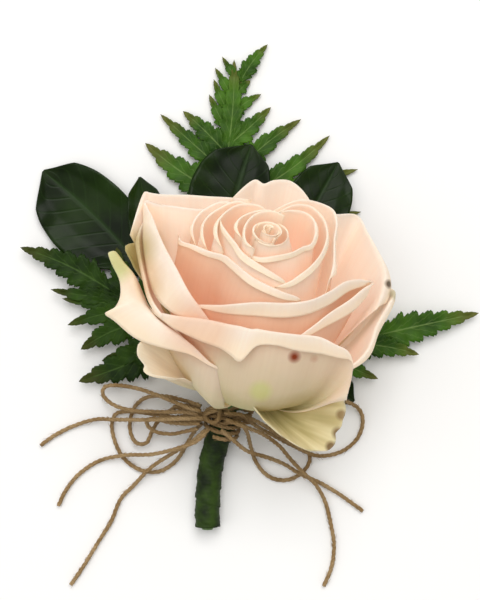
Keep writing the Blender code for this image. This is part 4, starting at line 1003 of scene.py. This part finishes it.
# %% The leaves' places
# angle of the stalk in the bundle, its route to the blade, the blade's spine from base to tip, half
# widths left and right of the spine, and how far the edges rise
LEAVES = {
    "leaf_left": (183, [(-7.3, -27.4, 5), (-13, -18, 3), (-21, -6, 1.6), (-28, 7, 0.9)],
        [(-28, 7, 0.3), (-38, 19, 0), (-49, 30, 0), (-60.3, 39.6, 0.8)], 14.5, 11, 2),
    "leaf_left_back": (209, [(-6.3, -26.8, 3.4), (-10.6, -14, 3.2), (-17, -2, 3.2), (-23, 11, 3.2)],
        [(-23, 11, 3), (-27, 21, 3.4), (-30.5, 37.5, 3.6)], 6, 6, 1.2),
    "leaf_top": (235, [(-4.6, -26, 3.6), (-5, -14, 3.2), (-5.5, 0, 3.2), (-5, 14, 3.2)],
        [(-5, 14, 3), (-3, 25, 3.2), (0, 36, 3.2), (3.5, 47.5, 2.6)], 14, 9.5, 1.4),
    "leaf_top_right": (287, [(-0.6, -26, 4), (5, -15, 3), (9, -3, 3), (13, 10, 3)],
        [(13, 10, 2.8), (18, 20, 3.2), (24, 31, 3), (30, 42, 2.4)], 9.5, 10.5, 1.2),
    "leaf_low_right": (313, [(2, -28.5, 4.4), (8, -25, 2.6), (14, -21, 1.4)],
        [(14, -21, 0.4), (21, -23, 0), (28, -26.5, 0), (35, -31, 0.4)], 6, 6, 1),
}
LEAF_THICK = 0.45
LEAF_SEAT = 0.7  # the blade's upper face stands this high over its spine
print(len(LEAVES), "leaves")

# %% Growing the leaves
def leaf_half_width(t):
    """The blade's half width at share t of its length, as a share of its widest."""
    half = math.sqrt(4 * t * (1 - t)) * min(1.0, 0.25 + 2.2 * t) * mix(0.95, 1.08, t)
    return half * (1.0 - 0.75 * max(0.0, (t - 0.86) / 0.14)**1.3)


def grow_leaf(name, angle, route, spine, left, right, rise):
    mesh = bmesh.new()
    spine = [Vector(p) for p in spine]
    phase = rng.uniform(0, math.tau)

    def place(u, v):
        s, t = 2 * u - 1, mix(0.003, 0.997, v)
        here = through(spine, t)
        side = heading(spine, t).normalized().cross(UP).normalized()
        half = mix(left, right, u if abs(s) < 0.01 else (s > 0)) * leaf_half_width(t)
        curl = rise * (2 * abs(s) - 1) + 0.5 * math.sin(9.0 * t + 2.0 * s) * abs(s)
        curl = mix(-0.3 * (1 - 2 * abs(s)), curl, clamp((abs(s) - 0.45) / 0.25))
        ripple = 0.22 * math.sin(34 * t + phase + s) * s * s
        groove = -0.25 * math.exp(-(s * half / 0.5)**2)
        height = here.z + (curl + ripple + groove) * min(1.0, 6 * t * (1 - t))
        flat = here + side * s * half
        return at((flat.x, flat.y, max(LEAF_THICK, height + LEAF_SEAT)))

    thicken(mesh, sheet(mesh, 24, 60, place), LEAF_THICK)
    stalk = stalk_points(angle, route)
    foot = spine[0] + (spine[1] - spine[0]).normalized() * 3.0
    stalk.append(foot + UP * LEAF_SEAT)
    tube(mesh, stalk, [STALK_RADIUS] * len(stalk))
    finish_piece("glossy_" + name, mesh, LEAF_GREEN, [name])


for name, facts in LEAVES.items():
    grow_leaf(name, *facts)

# %% [markdown]
# ## Fern
#
# Florist's fern is a stiff, lacy frond. Its leaflets grow in pairs from a rib, shaped like a lance, and
# their edges are cut into teeth that lean forward, with finer teeth on each. A leaflet is one grid,
# whose half width swings between notch and point while its edge is pushed ahead.

# %% The fronds' places
# angle in the bundle, the spine from the tape to the last leaflet, and the leaflets, as
# (foot x, foot y, tip x, tip y, half width, teeth on a side)
FRONDS = {
    "fern_top": (261, [(-3, -24, 2.4), (-2.2, -10, 1), (-1.2, 8, 0.65), (-0.6, 26, 0.65),
        (-3.6, 42, 0.65), (-3.8, 52, 0.65), (-1.5, 62, 0.65), (2.5, 71, 0.65), (5, 75, 0.65)], [
        (-3.5, 44, -17.4, 57.8, 6.4, 4), (-2.6, 38, -24.3, 56.8, 6.4, 5), (-1, 31, -29, 48, 9.5, 5),
        (-3.7, 47, 9.4, 59, 6, 4), (-2.4, 38, 18.6, 55.3, 6.4, 4), (-1, 31, 27.4, 50.3, 7, 5),
        (-0.8, 24, 36, 40, 7, 4), (-0.8, 16, 37, 27, 7, 3), (-3.7, 52, -9.4, 62.8, 3.8, 2),
        (-3, 57, -8, 67.5, 3.6, 2), (-2, 61, -7.6, 71, 3.4, 2), (0.2, 67, -5.4, 74.4, 3, 2),
        (-3, 56, 6.4, 63, 4, 2), (-1, 63, 3.2, 67.2, 3.4, 1), (0.5, 67, 1.8, 71.5, 2.8, 1),
        (-2.6, 68.5, 8.4, 78.2, 4.6, 4), (-3.6, 44, -1.8, 73.5, 6.2, 5)]),
    "fern_left": (157, [(-9.4, -28.6, 8), (-14.4, -21, 4.8), (-22, -14, 3.8), (-31, -6, 3.6),
        (-39, 3, 3.4), (-47, 9, 3.2)], [
        (-38, 2, -66.8, 16, 9, 6), (-37, 1, -57.5, 3.2, 5, 3), (-36, -1, -54, 0.4, 4.4, 2),
        (-34, -3, -52.4, -7.6, 5.6, 2), (-30, -7, -48.4, -15, 8, 3), (-22, -13.6, -49, -24.8, 10.5, 5),
        (-22, -13, -42, -18.5, 8, 3), (-35, -2, -37.5, 16, 8, 3), (-29, -8, -29, 12, 8, 3),
        (-26, -10, -22, 4, 6, 3), (-17, -18, -12, -2, 6, 3)]),
    "fern_right": (339, [(4, -28, 5.8), (12, -23.5, 4), (22, -18, 3), (33, -13, 2.6), (43, -10.5, 2.3),
        (52, -8.5, 2)], [
        (40, -11.5, 72.8, -4, 8.5, 6), (32, -14, 54.5, -16.6, 7, 5), (41, -11, 48.5, -13.6, 2.6, 1),
        (30, -14.5, 45, 5.6, 6, 3), (24, -17, 42, -24, 6, 3), (20, -19, 26, -3, 6, 3)]),
}
LEAFLET_THICK = 0.4
LEAFLET_BREADTH = 0.84  # a blade's widest half as a share of its listed width
RACHIS = 0.6  # the rib's radius near its foot
print(sum(len(facts[2]) for facts in FRONDS.values()), "leaflets")

# %% Growing the fronds
def lobes(t, teeth):
    """0 at a notch, rising slowly to 1 at the tooth's point and falling at once behind it."""
    f = (t * (teeth + 1)) % 1.0
    return f / 0.8 if f < 0.8 else (1 - f) / 0.2


def grow_leaflet(mesh, foot, tip, width, teeth, level):
    along = tip - foot
    side = Vector((-along.y, along.x, 0.0)).normalized()
    sweep = rng.uniform(-0.05, 0.05) * along.length

    def place(u, v):
        s = 2 * u - 1
        tooth = 0.7 * lobes(v, teeth) + 0.3 * lobes(v, 3 * teeth + 2)
        lance = min(1.0, 0.3 + 2.6 * v) * (1 - v)**0.75
        half = max(0.1, LEAFLET_BREADTH * width * lance * mix(0.66, 1.08, tooth))
        ahead = 0.16 * tooth * abs(s)**2 * (1 - v) / (teeth + 1) + 0.05 * abs(s) * (1 - v)
        arch = 1.1 * math.sin(math.pi * v) * min(1.0, along.length / 20.0)
        fold = -0.35 * (1 - abs(s)) + 0.3 * math.sin(math.tau * v * (teeth + 1)) * abs(s)
        spot = foot + along * min(1.0, v + ahead) + side * (s * half + sweep * math.sin(math.pi * v))
        return at((spot.x, spot.y, max(LEAFLET_THICK, level + 0.6 + arch + fold * min(1.0, half))))

    thicken(mesh, sheet(mesh, 8, 15 * (teeth + 1), place), LEAFLET_THICK)


def grow_frond(name, angle, route, leaflets):
    mesh = bmesh.new()
    spine = stalk_points(angle, route)
    tube(mesh, spine, [RACHIS * mix(0.75, 1.0, min(1.0, k / 12)) * mix(1.0, 0.6, k / len(spine))
                       for k in range(len(spine))])
    for fx, fy, tx, ty, width, teeth in leaflets:
        near = min(spine, key=lambda p: (p.x - fx)**2 + (p.y - fy)**2)
        foot = Vector((fx, fy, 0.0))
        foot += (Vector((near.x, near.y, 0.0)) - foot) * 0.9
        grow_leaflet(mesh, foot, Vector((tx, ty, 0.0)), width, teeth, max(0.0, near.z - 0.45))
    green = PAINTED_SHADE_FERN_GREEN if name == "fern_left" else FERN_GREEN  # that frond gets a darker copy of the fern green: painted shade, as it lies in shadow
    finish_piece("lacy_" + name, mesh, green, [name])


for name, facts in FRONDS.items():
    grow_frond(name, *facts)

# %% [markdown]
# ## Florist's tape
#
# The tape is a waxy paper strip, stretched and wound up the stems so that each turn overlaps the last.
# A rolled grid makes the sleeve, and its radius rises slowly and drops at each overlap, on a spiral.

# %% The tape
TAPE_RADIUS = 4.0
TAPE_START, TAPE_END = 1.5, 38.3
TAPE_TURN = 5.5  # from one overlap to the next, in millimetres
TAPE_WALL = 0.6


def tape_place(u, v):
    distance = mix(TAPE_START, TAPE_END, v)
    overlap = (distance / TAPE_TURN + u) % 1.0
    crease = 0.05 * math.sin(40 * u + 3 * distance) + 0.04 * math.sin(17 * u - 5 * distance)
    return at(bundle_point(distance, 360.0 * u, TAPE_RADIUS - 0.45 + 0.4 * overlap + crease))


mesh = bmesh.new()
verts = sheet(mesh, 48, 110, tape_place)
bmesh.ops.remove_doubles(mesh, verts=verts, dist=SEAM)
thicken(mesh, mesh.verts[:], TAPE_WALL)
finish_piece("wound_tape", mesh, TAPE_GREEN, ["stem_tape"])

# %% [markdown]
# ## The binding and its knot
#
# Under the rose the twine goes round the stems three times and is tied on top, where the bow starts.
# The turns are the same twisted yarns as the loops. The knot is six short turns wound over one another,
# with a few short runs of the bow gathered across it.

# %% Binding
WINDING_RADIUS = TAPE_RADIUS + 0.3 + TWINE / 2
WINDING_START, WINDING_PITCH, WINDING_TURNS = 2.6, 1.95, 3
WINDING_FROM = 110  # degrees round the stems
WINDING_STEPS = 16  # to a turn
KNOT = Vector((-8.0, -34.2, 14.4))
KNOT_WRAPS = 6
WRAP_STEPS = 12
GATHERED = 5  # short runs of the bow, gathered across the top of the binding

mesh = bmesh.new()
along = (BUNDLE[1] - MOUTH).normalized()
side = UP.cross(along).normalized()
turns = []
for k in range(WINDING_TURNS * WINDING_STEPS + 1):
    turn = math.tau * k / WINDING_STEPS + math.radians(WINDING_FROM)
    centre = MOUTH + along * (WINDING_START + WINDING_PITCH * k / WINDING_STEPS)
    turns.append(round_from(centre, side, along.cross(side), turn, WINDING_RADIUS))
twist(mesh, turns)
for _ in range(KNOT_WRAPS):
    amount = rng.uniform(0, math.tau)
    tilt = Matrix.Rotation(amount, 3, Vector((rng.uniform(-1, 1), rng.uniform(-1, 1), 1)))
    ring = [KNOT + tilt @ Vector((2.4 * math.cos(a), 2.1 * math.sin(a), 0.5 * math.sin(2 * a)))
            for a in (math.tau * k / WRAP_STEPS for k in range(WRAP_STEPS))]
    twist(mesh, ring)
for strand in range(GATHERED):
    spread = rng.uniform(-1, 1)
    bow = []
    for k in range(9):
        across = mix(-11.5, 11.5, k / 8) + rng.uniform(-0.6, 0.6)
        away = 2.4 * spread + 1.2 * math.sin(k + strand)
        high = -1.2 - 3.4 * (k / 4 - 1)**2 + 0.7 * math.cos(2 * k + strand)
        bow.append(KNOT + Vector((across, away, high)))
    twist(mesh, bow)
finish_piece("jute_binding", mesh, JUTE, ["twine_binding"])

# %% [markdown]
# ## The table and the light
#
# The table is pale and plain. One large soft light stands high above it, beyond the fern's tip, so that
# the near side of each petal falls into a gentle shadow. A weaker light from the left and a pale sky
# keep those shadows clear. Both lights look at the middle of the flower.

# %% Table and lights
TABLE_GAP = 0.0002  # the table lies this far under the flower
table_mesh = bmesh.new()
bmesh.ops.create_grid(table_mesh, x_segments=1, y_segments=1, size=1.5)
table = bpy.data.objects.new("table", bpy.data.meshes.new("table"))
table_mesh.to_mesh(table.data)
table_mesh.free()
table.location = (0, 0, -TABLE_GAP)
paper, paper_tree, paper_shader = new_material("table_paper", 0.8)
clouds = noise(paper_tree, surface_map(paper_tree, uv=False), 6.0)
feed(paper_shader.inputs["Base Color"],
     ramp(paper_tree, clouds, (0.3, (0.93, 0.93, 0.925)), (0.7, (0.95, 0.95, 0.945))))
table.data.materials.append(paper)
bpy.context.scene.collection.objects.link(table)
table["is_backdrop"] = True


def soft_light(name, place, size, power, colour):
    lamp = bpy.data.lights.new(name, "AREA")
    lamp.size = size
    lamp.energy = power
    lamp.color = colour
    made = bpy.data.objects.new(name, lamp)
    made.location = place
    made.rotation_euler = (Vector((0, 0, 0.02)) - made.location).to_track_quat("-Z", "Y").to_euler()
    bpy.context.scene.collection.objects.link(made)


soft_light("window", (0.1, 0.75, 1.5), 1.1, 17.0, (1.0, 0.99, 0.98))
soft_light("room", (-0.8, 0.0, 1.2), 1.2, 4.5, (1.0, 0.99, 0.97))
sky = bpy.data.worlds.new("sky")
sky.use_nodes = True
for socket, value in zip(sky.node_tree.nodes["Background"].inputs, ((1.0, 0.99, 0.97, 1.0), 0.5)):
    socket.default_value = value
bpy.context.scene.world = sky
bpy.context.scene.view_settings.view_transform = "Standard"
print("lit")

# %% [markdown]
# ## Closing
#
# The dressed model's box is printed, in metres, before the scene is handed back to the frame.

# %% Sizes and finish
low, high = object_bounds()
print("the dressed model's box, in metres:", tuple(low), tuple(high))
